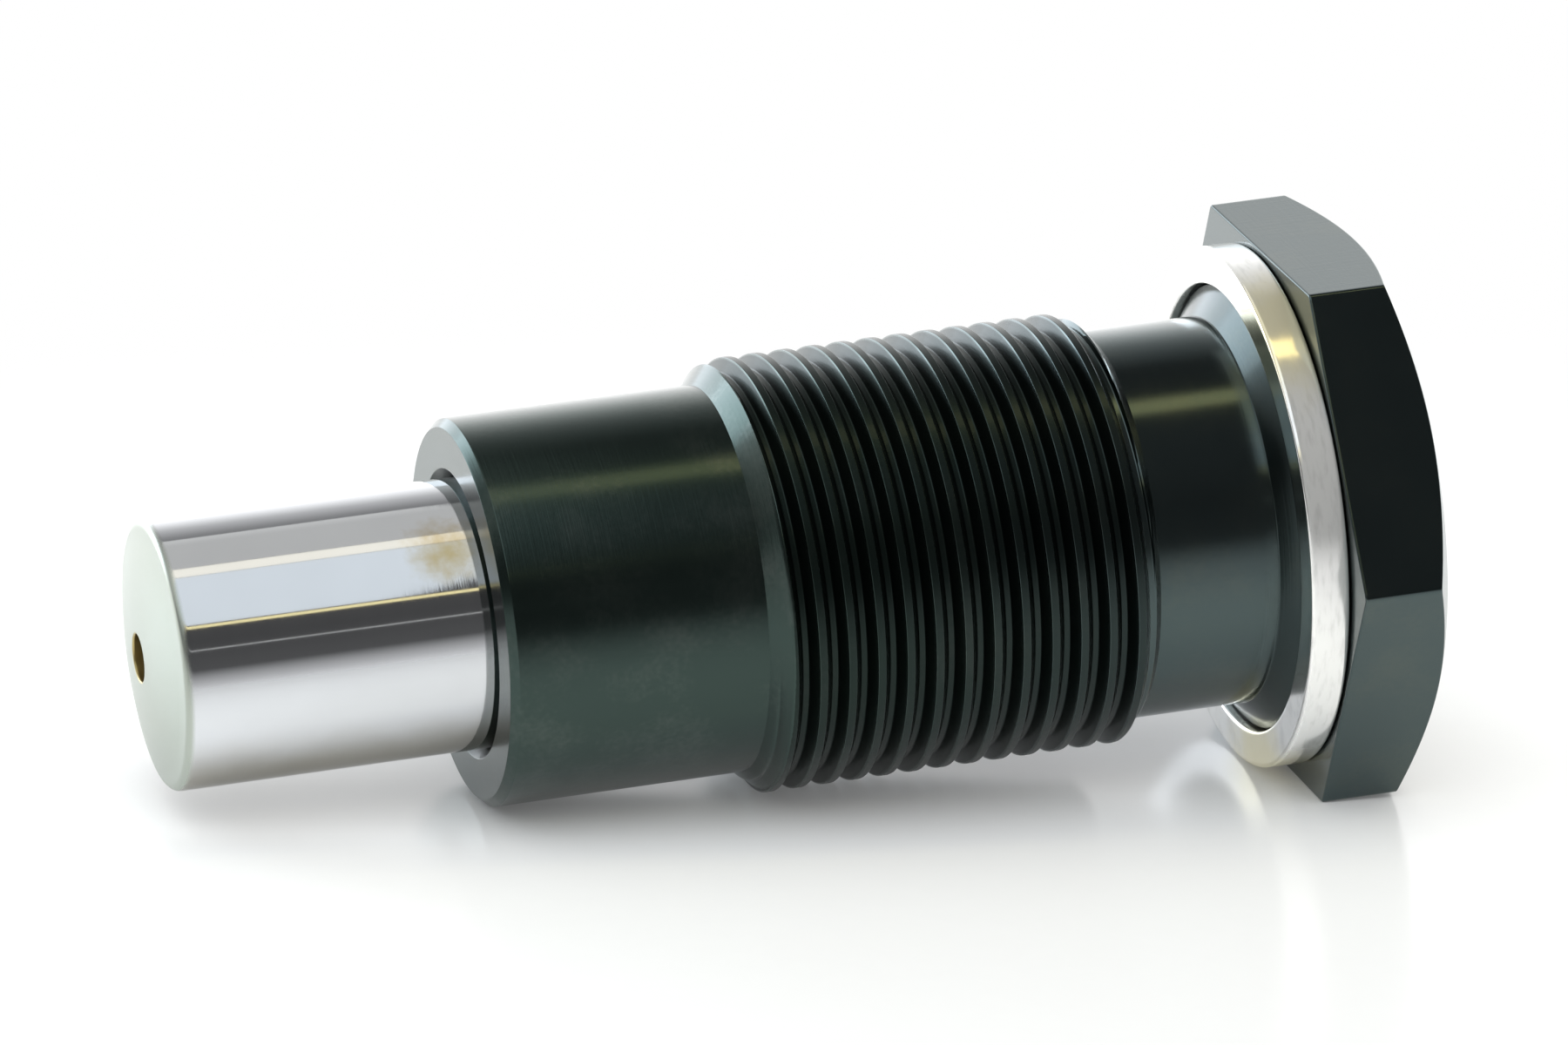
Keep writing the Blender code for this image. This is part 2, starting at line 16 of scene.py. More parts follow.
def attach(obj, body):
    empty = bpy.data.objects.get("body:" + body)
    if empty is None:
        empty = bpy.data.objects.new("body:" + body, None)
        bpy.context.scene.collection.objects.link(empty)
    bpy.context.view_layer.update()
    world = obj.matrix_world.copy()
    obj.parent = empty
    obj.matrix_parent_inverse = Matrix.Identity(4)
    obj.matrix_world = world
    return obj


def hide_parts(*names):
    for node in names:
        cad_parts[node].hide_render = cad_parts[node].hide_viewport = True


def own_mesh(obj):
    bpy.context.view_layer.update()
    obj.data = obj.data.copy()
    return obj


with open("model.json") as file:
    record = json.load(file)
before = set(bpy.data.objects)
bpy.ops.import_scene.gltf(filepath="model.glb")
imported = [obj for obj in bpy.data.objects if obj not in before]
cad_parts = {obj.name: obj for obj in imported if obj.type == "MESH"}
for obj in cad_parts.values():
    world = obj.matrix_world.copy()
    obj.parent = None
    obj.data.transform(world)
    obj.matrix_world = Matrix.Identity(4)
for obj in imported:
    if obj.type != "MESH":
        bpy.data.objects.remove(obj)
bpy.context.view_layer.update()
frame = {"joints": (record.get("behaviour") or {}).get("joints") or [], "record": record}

bl_info = {
    "name": "Timing Chain Tensioner",
    "version": (1, 0, 0),
    "blender": (4, 5, 0),
    "location": "View3D > Sidebar > Tensioner",
    "description": "Builds a screw-in hydraulic timing chain tensioner and its studio",
    "category": "Add Mesh",
}

MM = 0.001
IMAGE_WIDTH = 1800
SENSOR_WIDTH = 36.0

# Facets: round the axis, on each eased corner, and along and round a wire
COLUMNS = 144
EASE_STEPS = 4
DOME_STEPS = 8
WIRE_POINTS_PER_TURN = 48
WIRE_SIDES = 16
HOLE_SIDES = 48

# Small roundings left by the tools that cut the pieces
EDGE_BREAK = 0.1 * MM
FINE_BREAK = 0.05 * MM
SUPPORT_SHARE = 0.35
ROW_SPACING = 0.1 * MM
RUNOUT_BLEND = 0.08 * MM
MERGE_DISTANCE = 1e-7
SHARP_ANGLE = math.radians(32.0)

# How far from the axis the oil feed's drill stops, and the straight run beside an eased corner
FEED_STOP = 2 * MM
RUN = MM


def length(name, description, millimetres):
    """A length property; its default is given in millimetres."""
    return FloatProperty(
        name=name, description=description, default=millimetres * MM, min=0.0, precision=6, unit='LENGTH'
    )


def angle(name, description, degrees):
    return FloatProperty(name=name, description=description, default=math.radians(degrees), subtype='ANGLE')


def colour(name, description, default):
    return FloatVectorProperty(
        name=name, description=description, default=default, size=3, min=0.0, max=1.0, subtype='COLOR'
    )


def share(name, description, default):
    return FloatProperty(
        name=name, description=description, default=default, min=0.0, max=1.0, subtype='FACTOR'
    )


def level(name, description, default):
    return FloatProperty(name=name, description=description, default=default, min=0.0)


def count(name, description, default):
    return IntProperty(name=name, description=description, default=default, min=0)


class BodySizes(bpy.types.PropertyGroup):
    """Sizes of the body, which is cut from one hexagon bar."""
    across_flats: length("Across Flats", "Width of the hexagon head", 27.0)
    head_thickness: length("Head Thickness", "From the head's outer face to its sealing face", 5.05)
    head_chamfer: angle("Head Chamfer", "Slope of the chamfer on the head's outer face", 25.5)
    head_margin: length("Head Face Margin", "From a flat to the rim of the outer face", 0.2)
    corner_rounding: length("Corner Rounding", "Radius of the hexagon's corners", 0.3)
    collar_radius: length("Collar Radius", "Radius of the collar inside the washer", 11.325)
    collar_length: length("Collar Length", "From the sealing face to the neck, with the cone", 2.6)
    collar_cone: length("Collar Cone", "Length of the cone from the collar to the neck", 1.1)
    neck_radius: length("Neck Radius", "Radius of the neck behind the thread", 9.845)
    neck_length: length("Neck Length", "From the collar to the thread", 6.2)
    crest_radius: length("Crest Radius", "Half the thread's major diameter", 10.925)
    pitch: length("Pitch", "Rise of the thread in one turn", 1.5)
    thread_depth: length("Thread Depth", "From crest to root", 0.7)
    crest_flat: length("Crest Flat", "Width of the flat on the crest", 0.375)
    flank_angle: angle("Flank Angle", "Slope of each flank of the thread", 30.0)
    thread_length: length("Thread Length", "Length of the thread with its end chamfers", 20.25)
    thread_lead: length("Thread Lead", "Length of each end chamfer of the thread", 0.95)
    sleeve_radius: length("Sleeve Radius", "Radius of the sleeve in front of the thread", 9.745)
    sleeve_length: length("Sleeve Length", "From the thread to the mouth", 13.15)
    sleeve_chamfer: length("Sleeve Chamfer", "Chamfer of the sleeve's front edge", 0.4)
    mouth_width: length("Mouth Chamfer Width", "Width of the chamfer round the bore's mouth", 0.45)
    mouth_depth: length("Mouth Chamfer Depth", "Depth of the chamfer round the bore's mouth", 0.6)
    guide_radius: length("Guide Radius", "Radius of the land that guides the plunger", 6.85)
    guide_rear: length("Guide Rear", "Station of the guide land's rear shoulder", 27.15)
    bore_radius: length("Bore Radius", "Radius of the bore behind the guide land", 7.3)
    bore_floor: length("Bore Floor", "Station of the shoulder under the valve seat", 9.0)
    gallery_radius: length("Gallery Radius", "Radius of the oil gallery behind the valve", 3.5)
    gallery_floor: length("Gallery Floor", "Station where the gallery's drill point starts", 3.7)
    drill_point: angle("Drill Point", "Slope of the gallery's drill point", 31.0)
    feed_radius: length("Feed Radius", "Radius of the oil feed hole", 1.5)
    feed_station: length("Feed Station", "Station of the oil feed hole", 5.7)

    @property
    def thread_rear(self):
        return self.collar_length + self.neck_length

    @property
    def thread_front(self):
        return self.thread_rear + self.thread_length

    @property
    def mouth(self):
        return self.thread_front + self.sleeve_length


class WasherSizes(bpy.types.PropertyGroup):
    """Sizes of the sealing washer."""
    back: length("Back", "Station of the face against the head", 0.05)
    thickness: length("Thickness", "Thickness of the washer", 2.0)
    bore_radius: length("Bore Radius", "Radius of the hole round the collar", 11.425)
    outer_radius: length("Outer Radius", "Radius of the rim", 13.275)
    edge: length("Edge Rounding", "Radius of the rim's rounded edges", 0.2)
    bore_edge: length("Bore Edge Rounding", "Radius of the hole's rounded edges", 0.15)


class PlungerSizes(bpy.types.PropertyGroup):
    """Sizes of the plunger, its snap ring and the filler inside it."""
    radius: length("Radius", "Radius of the ground plunger", 6.8)
    tip: length("Tip", "Station of the tip at full stroke", 58.7)
    length: length("Length", "Length of the plunger", 33.6)
    hollow_radius: length("Hollow Radius", "Radius of the hollow for the spring", 4.896)
    crown_thickness: length("Crown Thickness", "Thickness of the closed end", 3.5)
    crown_rise: length("Crown Rise", "Rise of the domed tip", 0.8)
    crown_edge: length("Crown Edge", "Radius of the tip's edge", 0.5)
    hole_radius: length("Hole Radius", "Radius of the oil hole in the tip", 1.2)
    tail_chamfer: length("Tail Chamfer", "Chamfer of the open end", 0.4)
    groove_radius: length("Groove Radius", "Radius at the bottom of the ring groove", 6.15)
    groove_rear: length("Groove Rear", "Station of the ring groove's rear wall", 26.1)
    groove_width: length("Groove Width", "Width of the ring groove", 1.1)
    ring_wire: length("Ring Wire", "Diameter of the snap ring's wire", 0.9)
    ring_radius: length("Ring Radius", "Radius of the snap ring's centre line", 6.65)
    ring_opening: angle("Ring Opening", "Angle between the snap ring's ends", 24.0)
    filler_flange: length("Filler Flange", "Thickness of the filler's flange", 1.2)
    filler_flange_radius: length("Filler Flange Radius", "Radius of the filler's flange", 4.646)
    filler_radius: length("Filler Radius", "Radius of the filler's stem", 3.149)
    filler_stem: length("Filler Stem", "Length of the filler's stem", 24.0)
    filler_hole: length("Filler Hole", "Radius of the hole through the filler", 0.8)
    seat_gap: length("Seat Gap", "Gap between pieces that seat on each other", 0.05)

    @property
    def tail(self):
        return self.tip - self.length

    @property
    def underside(self):
        return self.tip - self.crown_thickness


class ValveSizes(bpy.types.PropertyGroup):
    """Sizes of the non-return valve and of both springs."""
    seat_radius: length("Seat Radius", "Radius of the seat disc", 7.24)
    seat_back: length("Seat Back", "Station of the seat disc's back", 9.05)
    seat_thickness: length("Seat Thickness", "Thickness of the seat disc", 2.0)
    seat_hole: length("Seat Hole", "Radius of the hole through the seat", 1.2044)
    seat_cone: length("Seat Cone", "Width of the cone that the ball sits in", 0.45)
    ball_radius: length("Ball Radius", "Radius of the ball", 2.0074)
    ball_station: length("Ball Station", "Station of the ball's centre on its seat", 12.305)
    cage_bore: length("Cage Bore", "Inner radius of the cage", 2.3074)
    cage_wall: length("Cage Wall", "Thickness of the cage's sheet", 0.4)
    cage_flange_radius: length("Cage Flange Radius", "Radius of the flange under the spring", 4.646)
    cage_flange: length("Cage Flange", "Thickness of the flange under the spring", 0.6)
    cage_back: length("Cage Back", "Station of the cage's back", 11.1)
    cage_roof: length("Cage Roof", "Station of the roof's inner face", 16.412)
    vent_radius: length("Vent Radius", "Radius of the cage's oil vents", 0.55)
    ball_spring_radius: length("Ball Spring Radius", "Radius of the ball spring's centre line", 1.6574)
    ball_spring_wire: length("Ball Spring Wire", "Diameter of the ball spring's wire", 0.3)
    ball_spring_turns: level("Ball Spring Turns", "Turns of the ball spring", 3.5)
    main_spring_radius: length("Main Spring Radius", "Radius of the main spring's centre line", 4.0977)
    main_spring_wire: length("Main Spring Wire", "Diameter of the main spring's wire", 1.0967)
    main_spring_turns: count("Main Spring Turns", "Turns of the main spring", 12)
    end_turns: count("End Turns", "Closed turns at each end of the main spring", 1)

    @property
    def seat_front(self):
        return self.seat_back + self.seat_thickness

    @property
    def cage_flange_front(self):
        return self.cage_back + self.cage_flange


class Finishes(bpy.types.PropertyGroup):
    """Colours and gloss of the pieces."""
    oxide: colour("Black Oxide", "Reflection of the oxide on the head and neck", (0.072, 0.097, 0.098))
    oxide_fore: colour("Sleeve Oxide", "Reflection of the oxide on the sleeve", (0.043, 0.065, 0.058))
    # Painted shade laid into the grooves, on the collar cone and in the bore
    oxide_painted_shade: colour("Oxide Painted Shade", "Painted shade in the grooves, on the collar cone and in the bore", (0.008, 0.013, 0.011))
    oxide_worn: colour("Worn Oxide", "Reflection where the oxide is thinner", (0.095, 0.115, 0.105))
    oxide_roughness: share("Oxide Roughness", "Gloss of the oxide finish", 0.15)
    oil_film: share("Oil Film", "Weight of the oil film over the oxide", 0.1)
    ground: colour("Ground Steel", "Reflection of the ground plunger", (0.70, 0.715, 0.74))
    faced: colour("Faced Steel", "Reflection of the turned tip face", (0.42, 0.455, 0.405))
    # Painted shade: a darker, warm-tinted steel on the plunger's underside
    painted_underside_shade: colour("Painted Underside Shade", "Painted warm shade on the plunger's underside", (0.30, 0.28, 0.23))
    smudge: colour("Smudge", "Reflection of the brown oil stains on the plunger", (0.46, 0.35, 0.13))
    ground_roughness: share("Ground Roughness", "Gloss of the ground plunger", 0.07)
    faced_roughness: share("Faced Roughness", "Gloss of the turned tip face", 0.34)
    aluminium: colour("Aluminium", "Reflection of the washer", (0.98, 0.98, 0.96))
    aluminium_roughness: share("Aluminium Roughness", "Gloss of the washer", 0.14)
    aluminium_sheen: share("Aluminium Sheen", "Mirror-like share of the washer's light", 0.68)
    # High on the rim a painted golden reflection, low on it a straw-coloured stain
    aluminium_stain_and_painted_gold: colour("Washer Stain and Painted Sheen", "Reflection of the washer's stain and painted golden sheen", (0.97, 0.90, 0.62))
    spring: colour("Spring Wire", "Reflection of the spring wire", (0.32, 0.31, 0.30))
    snap_ring: colour("Snap Ring", "Reflection of the snap ring", (0.36, 0.35, 0.34))
    seat: colour("Seat Steel", "Reflection of the valve seat", (0.45, 0.44, 0.42))
    ball: colour("Ball Steel", "Reflection of the ball", (0.62, 0.61, 0.60))
    cage: colour("Cage Steel", "Reflection of the pressed cage", (0.50, 0.49, 0.46))
    polyamide: colour("Polyamide", "Colour of the filler", (0.70, 0.66, 0.55))


class StageSettings(bpy.types.PropertyGroup):
    """Floor, lamps and camera."""
    floor_size: length("Floor Size", "Width of the floor", 6000.0)
    floor_colour: colour("Floor", "Colour of the floor", (0.93, 0.94, 0.94))
    floor_roughness: share("Floor Roughness", "Gloss of the coated paper", 0.2)
    floor_glow: share("Floor Glow", "White that the floor adds in view and in reflections", 0.08)
    floor_full: length("Floor Full", "How far the paper is full to each side of the tensioner's axis", 20.0)
    floor_end: length("Floor End", "How far the paper's soft edge reaches", 75.0)
    ambient: level("Ambient", "Even light from all round", 0.45)
    key_level: level("Key Level", "Soft light added from above in front", 1.45)
    key_tilt: angle("Key Tilt", "Angle of that light from straight up towards the camera", 33.0)
    strip_level: level("Strip Level", "Radiance of the narrow lamp overhead", 1.15)
    card_level: level("Card Level", "Radiance of the softbox in front on the left", 0.93)
    side_level: level("Side Level", "Radiance of the softbox behind on the left", 0.52)
    tube_level: level("Tube Level", "Radiance of the thin tubes in front on the left", 1.2)
    window_level: level("Window Level", "Radiance of the window low behind on the left", 4.4)
    azimuth: angle("Azimuth", "Camera's angle round the tensioner", -17.39)
    elevation: angle("Elevation", "Camera's angle above the floor", 18.34)
    roll: angle("Roll", "Camera's tilt about its own view", 2.84)
    distance: length("Distance", "From the camera to its target", 612.46)
    target_x: length("Target X", "Target's place along the floor", 0.735)
    target_z: length("Target Z", "Target's height", 13.632)
    focal_pixels: level("Focal Length", "Focal length in pixels of the image", 14075.0)


def record_mount(name):
    """Place and direction of one of the record's mounts."""
    mount = next(entry for entry in frame["record"]["mounts"] if entry["name"] == name)
    return Vector(mount["pos_m"]), Vector(mount["axis"]).normalized()


def tensioner_matrix(scene):
    """The tensioner's own frame: local Z from head to tip, local X up, origin on the sealing face."""
    head_centre, head_outward = record_mount("head_face")
    up = record_mount("spanner_flat")[1]
    forward = -head_outward
    origin = head_centre + scene.tensioner_body.head_thickness * forward
    axes = Matrix((up, forward.cross(up), forward)).transposed()
    return Matrix.Translation(origin) @ axes.to_4x4()


def column_angles(extra=()):
    """Angles round the axis, from 0 to a full turn with both ends, with any extra ones sorted in."""
    even = np.linspace(0.0, 2 * math.pi, COLUMNS + 1)
    return np.unique(np.concatenate([even, np.asarray(extra)])) if len(extra) else even


def ring(angles, radius, station):
    """One ring of points; the radius and the station are numbers or one value for each angle."""
    radius = np.broadcast_to(radius, angles.shape)
    station = np.broadcast_to(station, angles.shape)
    return np.stack([radius * np.cos(angles), radius * np.sin(angles), station], axis=1)


def eased(outline):
    """Round each corner of an outline of (radius, station, rounding) to (radius, station) points."""
    points = []
    for index, (radius, station, rounding) in enumerate(outline):
        corner = Vector((radius, station))
        if rounding == 0.0 or index in (0, len(outline) - 1):
            points.append(corner)
            continue
        back = (Vector(outline[index - 1][:2]) - corner).normalized()
        onward = (Vector(outline[index + 1][:2]) - corner).normalized()
        half = back.angle(onward) / 2
        reach = rounding / math.tan(half)
        centre = corner + (back + onward).normalized() * rounding / math.sin(half)
        start = math.atan2(*reversed(corner + back * reach - centre))
        end = math.atan2(*reversed(corner + onward * reach - centre))
        sweep = (end - start + math.pi) % (2 * math.pi) - math.pi
        points.append(corner + back * (reach + SUPPORT_SHARE * rounding))
        for step in range(EASE_STEPS + 1):
            turn = start + sweep * step / EASE_STEPS
            points.append(centre + rounding * Vector((math.cos(turn), math.sin(turn))))
        points.append(corner + onward * (reach + SUPPORT_SHARE * rounding))
    return [(point.x, point.y) for point in points]


def eased_loop(outline):
    """A closed outline with every corner rounded, ending where it starts."""
    around = [outline[-1]] + outline + [outline[0]]
    points = []
    for index in range(1, len(around) - 1):
        corner = eased([around[index - 1], around[index], around[index + 1]])
        points += corner[1:-1]
    return points + points[:1]


def ring_mesh(name, rings):
    """A closed solid from neighbouring rings of points; points that coincide are merged."""
    columns = rings[0].shape[0]
    points = np.concatenate(rings)
    lower = (np.arange(len(rings) - 1)[:, None] * columns + np.arange(columns - 1)[None, :]).ravel()
    faces = np.stack([lower, lower + 1, lower + columns + 1, lower + columns], axis=1)
    mesh = bpy.data.meshes.new(name)
    mesh.from_pydata(points.tolist(), [], faces.tolist())
    work = bmesh.new()
    work.from_mesh(mesh)
    bmesh.ops.remove_doubles(work, verts=work.verts, dist=MERGE_DISTANCE)
    work.to_mesh(mesh)
    work.free()
    return mesh


def turned_mesh(name, outline):
    """A solid turned from (radius, station) points that run forward outside and back inside."""
    angles = column_angles()
    return ring_mesh(name, [ring(angles, radius, station) for radius, station in outline])


def wound_mesh(name, radius, turns, stations, wire):
    """A round wire wound about the axis, with closed ends."""
    stations = np.asarray(stations)
    angles = np.linspace(turns[0], turns[1], len(stations))
    outward = np.stack([np.cos(angles), np.sin(angles), np.zeros_like(angles)], axis=1)
    centres = outward * radius + stations[:, None] * np.array([0.0, 0.0, 1.0])
    along = np.gradient(centres, axis=0)
    along /= np.linalg.norm(along, axis=1, keepdims=True)
    across = np.cross(along, outward)
    rings = [np.repeat(centres[:1], WIRE_SIDES + 1, axis=0)]
    sides = np.linspace(0.0, 2 * math.pi, WIRE_SIDES + 1)
    for centre, out, side in zip(centres, outward, across):
        rings.append(centre + wire / 2 * (np.outer(np.cos(sides), out) + np.outer(np.sin(sides), side)))
    rings.append(np.repeat(centres[-1:], WIRE_SIDES + 1, axis=0))
    return ring_mesh(name, rings)


def add_piece(context, name, mesh, node, body, finish):
    """Show a mesh, given in the tensioner's frame, in place of one node, riding on that node's body."""
    mesh.transform(tensioner_matrix(context.scene))
    mesh.shade_smooth()
    mesh.set_sharp_from_angle(angle=SHARP_ANGLE)
    mesh.materials.clear()
    mesh.materials.append(finish)
    piece = bpy.data.objects.new(name, mesh)
    context.scene.collection.objects.link(piece)
    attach(piece, body)
    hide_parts(node)
    return piece


def bore_through(context, mesh, drills):
    """Drill round holes, given as (radius, length, matrix), through a mesh."""
    target = bpy.data.objects.new("drilled", mesh)
    context.scene.collection.objects.link(target)
    cutters = []
    for radius, reach, place in drills:
        cutter_mesh = bpy.data.meshes.new("drill")
        work = bmesh.new()
        bmesh.ops.create_cone(
            work, cap_ends=True, segments=HOLE_SIDES,
            radius1=radius, radius2=radius, depth=reach, matrix=place,
        )
        work.to_mesh(cutter_mesh)
        work.free()
        cutter = bpy.data.objects.new("drill", cutter_mesh)
        context.scene.collection.objects.link(cutter)
        modifier = target.modifiers.new("Drill", 'BOOLEAN')
        modifier.operation = 'DIFFERENCE'
        modifier.solver = 'MANIFOLD'
        modifier.object = cutter
        cutters.append(cutter)
    depsgraph = context.evaluated_depsgraph_get()
    drilled = bpy.data.meshes.new_from_object(target.evaluated_get(depsgraph), depsgraph=depsgraph)
    for obj in [target, *cutters]:
        bpy.data.objects.remove(obj, do_unlink=True)
    drilled.name = mesh.name
    return drilled


class Value:
    """A socket in a node tree; arithmetic on it adds Math nodes."""

    def __init__(self, tree, socket):
        self.tree = tree
        self.socket = socket

    def __add__(self, other):
        return self.tree.math('ADD', self, other)

    def __radd__(self, other):
        return self.tree.math('ADD', other, self)

    def __sub__(self, other):
        return self.tree.math('SUBTRACT', self, other)

    def __rsub__(self, other):
        return self.tree.math('SUBTRACT', other, self)

    def __mul__(self, other):
        return self.tree.math('MULTIPLY', self, other)

    def __rmul__(self, other):
        return self.tree.math('MULTIPLY', other, self)


class NodeTree:
    """Adds nodes to a material's or the world's tree."""

    def __init__(self, tree):
        self.tree = tree

    def node(self, kind, settings, inputs, output=0):
        """A node of this type, with its settings, then its socket values or links."""
        node = self.tree.nodes.new(kind)
        for key, value in settings.items():
            if key == "stops":
                self.set_stops(node.color_ramp, value)
            else:
                setattr(node, key, value)
        for key, value in inputs.items():
            self.feed(node.inputs[key], value)
        return Value(self, node.outputs[output]) if node.outputs else None

    def feed(self, socket, value):
        """Link a value to a socket, or set it to a number, a vector or an opaque colour."""
        if isinstance(value, Value):
            self.tree.links.new(value.socket, socket)
        elif socket.type == 'RGBA' and len(value) == 3:
            socket.default_value = (*value, 1.0)
        else:
            socket.default_value = value

    @staticmethod
    def set_stops(ramp, stops):
        while len(ramp.elements) < len(stops):
            ramp.elements.new(0.5)
        for element, (position, shade) in zip(ramp.elements, stops):
            element.position = position
            element.color = (shade, shade, shade, 1.0)

    def math(self, operation, first, second=0.0):
        return self.node('ShaderNodeMath', {"operation": operation}, {0: first, 1: second})

    def between(self, value, low, high):
        """0 below low and 1 above high, with a smooth step between."""
        return self.node(
            'ShaderNodeMapRange', {"interpolation_type": 'SMOOTHSTEP'}, {"Value": value, 1: low, 2: high}
        )

    def within(self, value, low, high, fade):
        """1 from low to high, fading to 0 on both sides."""
        return self.between(value, low - fade, low) * (1.0 - self.between(value, high, high + fade))

    def blend(self, factor, first, second):
        """A mix of two colours."""
        return self.node('ShaderNodeMix', {"data_type": 'RGBA'}, {0: factor, 6: first, 7: second}, 2)

    def stretch(self, vector, scale):
        return self.node('ShaderNodeVectorMath', {"operation": 'MULTIPLY'}, {0: vector, 1: scale})

    def size(self, vector):
        return self.node('ShaderNodeVectorMath', {"operation": 'LENGTH'}, {0: vector}, "Value")

    def distance(self, vector, place):
        return self.node('ShaderNodeVectorMath', {"operation": 'DISTANCE'}, {0: vector, 1: place}, "Value")

    def along(self, vector, axis):
        """A vector's part along X, Y or Z."""
        return self.node('ShaderNodeSeparateXYZ', {}, {0: vector}, axis)

    def noise(self, vector, scale, detail=2.0):
        return self.node('ShaderNodeTexNoise', {}, {"Vector": vector, "Scale": scale, "Detail": detail})

    def ramp(self, value, stops):
        return self.node('ShaderNodeValToRGB', {"stops": stops}, {0: value})

    def rays(self, *kinds):
        """1 for rays of any of these kinds."""
        first, *others = [self.node('ShaderNodeLightPath', {}, {}, f"Is {kind} Ray") for kind in kinds]
        return self.math('MINIMUM', sum(others, first), 1.0)


class Finish(NodeTree):
    """A Principled material whose patterns are laid out in the tensioner's own frame, in millimetres."""

    def __init__(self, name, **constants):
        self.material = bpy.data.materials.new(name)
        self.material.use_nodes = True
        super().__init__(self.material.node_tree)
        self.shader = self.tree.nodes["Principled BSDF"]
        for socket, value in constants.items():
            self.set(socket.replace("_", " ").title(), value)
        matrix = tensioner_matrix(bpy.context.scene)
        place = self.node('ShaderNodeTexCoord', {}, {}, "Object")
        own = {"Vector": place, "Location": matrix.translation, "Rotation": matrix.to_euler()}
        turned = self.node('ShaderNodeMapping', {"vector_type": 'TEXTURE'}, own)
        self.place = self.node('ShaderNodeVectorMath', {"operation": 'SCALE'}, {0: turned, "Scale": 1 / MM})
        self.height = self.along(self.place, "X")
        self.station = self.along(self.place, "Z")
        self.radius = self.size(self.stretch(self.place, (1.0, 1.0, 0.0)))

    def set(self, socket, value):
        self.feed(self.shader.inputs[socket], value)

    def tool_marks(self, fineness):
        """Fine lines that a cutting tool leaves round the axis, on cylinders and on end faces."""
        round_marks = self.noise(self.stretch(self.place, (MARK_DRAG, MARK_DRAG, fineness)), 1.0)
        across = self.node('ShaderNodeCombineXYZ', {}, {0: self.radius * fineness})
        face_marks = self.noise(across, 1.0)
        return round_marks + face_marks

    def bump(self, height, strength, distance):
        relief = {"Strength": strength, "Distance": distance, "Height": height}
        self.set("Normal", self.node('ShaderNodeBump', {}, relief, "Normal"))


def dimmed(shade, kept):
    """A colour with these shares of its red, green and blue kept."""
    return tuple(part * channel for part, channel in zip(kept, shade))


# How slowly tool marks change round the axis, against their fineness along it
MARK_DRAG = 0.12

# Painted shade on the oxide in the grooves, on the collar cone and in the bore, with lighter bands left at
# the crests' edges as painted highlight lines: where it fades, in millimetres, and how much it counts
GROOVE_FADE = (0.12, 0.05)
CREST_FADE = (0.012, 0.004)
ZONE_FADE = 0.1
MOUTH_FADE = 0.05
BORE_FADE = 0.5
CREST_SHARE = 0.9
CONE_SHARE = 0.5
PAINTED_SHADE_SHARE = 0.75

# Wear of the oxide, the stations between which the sleeve's takes over, and steps of its roughness
WEAR_GRAIN = 0.35
WEAR_RANGE = (0.62, 0.95)
WEAR_SHARE = 0.5
FORE_RANGE = (6.0, 26.0)
OXIDE_SMOOTHEST = -0.05
FORE_ROUGHER = 0.05
RECESS_ROUGHER = 0.14
CLOUD_ROUGHER = 0.07
MARK_ROUGHER = 0.03

# Ground steel: share of its tarnish, heights of the painted shade on its underside, the smudge and steps of
# roughness
TARNISH_SHARE = 0.6
TARNISHED = (0.9, 0.9, 0.9)
UNDERSIDE_SHADE_RANGE = (-5.2, -1.4)
UNDERSIDE_SHADE_WAVER = 0.9
UNDERSIDE_SHADE_SHARE = 0.9
SMUDGE_PLACE = (5.1, -4.5, 43.9)
SMUDGE_RANGE = (0.9, 3.6)
SMUDGE_SPREAD = 2.2
SMUDGE_SHARE = 0.85
HOLE_SHARE = 0.9
HOLE_FADE = 0.15
FACE_FADE = 0.3
GROUND_SMOOTHEST = -0.025
STREAK_ROUGHER = 0.05

# Washer: middles and reach of the painted golden reflection high on its rim and of the stain low on it, its
# scuffs and its smoother front face
STAIN_AND_SHEEN_PLACES = ((11.6, -6.4, 1.0), (-12.6, -4.0, 1.0))
STAIN_AND_SHEEN_RANGE = (3.0, 7.0)
STAIN_AND_SHEEN_SPREAD = 3.0
STAIN_AND_SHEEN_SHARE = 0.9
SCUFF_RANGE = (0.45, 0.75)
SCUFFED = (0.84, 0.84, 0.84)
SCUFF_SMOOTHEST = -0.06
SCUFF_ROUGHER = 0.12
SMOOTH_FACE = (0.15, 0.02)

# Inner pieces: mottled steel and stained polyamide
MOTTLE_RANGE = (0.4, 0.7)
MOTTLED = (0.72, 0.72, 0.72)
MOTTLE_SMOOTHEST = -0.06
MOTTLE_ROUGHER = 0.1
POLYAMIDE_STAINED = (0.9, 0.84, 0.7)
POLYAMIDE_ROUGHNESS = 0.42
POLYAMIDE_GRAIN = 0.12


def painted_hollow_shade(finish, sizes):
    """Painted shade on the oxide: most in the grooves and the bore, some on the collar cone and the crest
    flats, none on the crests' edges, which stay lighter as painted highlight lines.
    """
    crest = sizes.crest_radius / MM
    deep = 1.0 - finish.between(finish.radius, *(crest - depth for depth in GROOVE_FADE))
    flat = CREST_SHARE * finish.between(finish.radius, *(crest - depth for depth in CREST_FADE))
    rear = (sizes.thread_rear + sizes.thread_lead) / MM
    front = (sizes.thread_front - sizes.thread_lead) / MM
    groove = finish.within(finish.station, rear, front, ZONE_FADE) * finish.math('MAXIMUM', deep, flat)
    cone_front = sizes.collar_length / MM
    cone_rear = cone_front - sizes.collar_cone / MM
    cone = CONE_SHARE * finish.within(finish.station, cone_rear, cone_front, ZONE_FADE)
    mouth = (sizes.guide_radius + sizes.mouth_width) / MM
    inside = 1.0 - finish.between(finish.radius, mouth - MOUTH_FADE, mouth + MOUTH_FADE)
    bore = finish.between(finish.station, 0.0, BORE_FADE) * inside
    return finish.math('MAXIMUM', finish.math('MAXIMUM', groove, cone), bore)


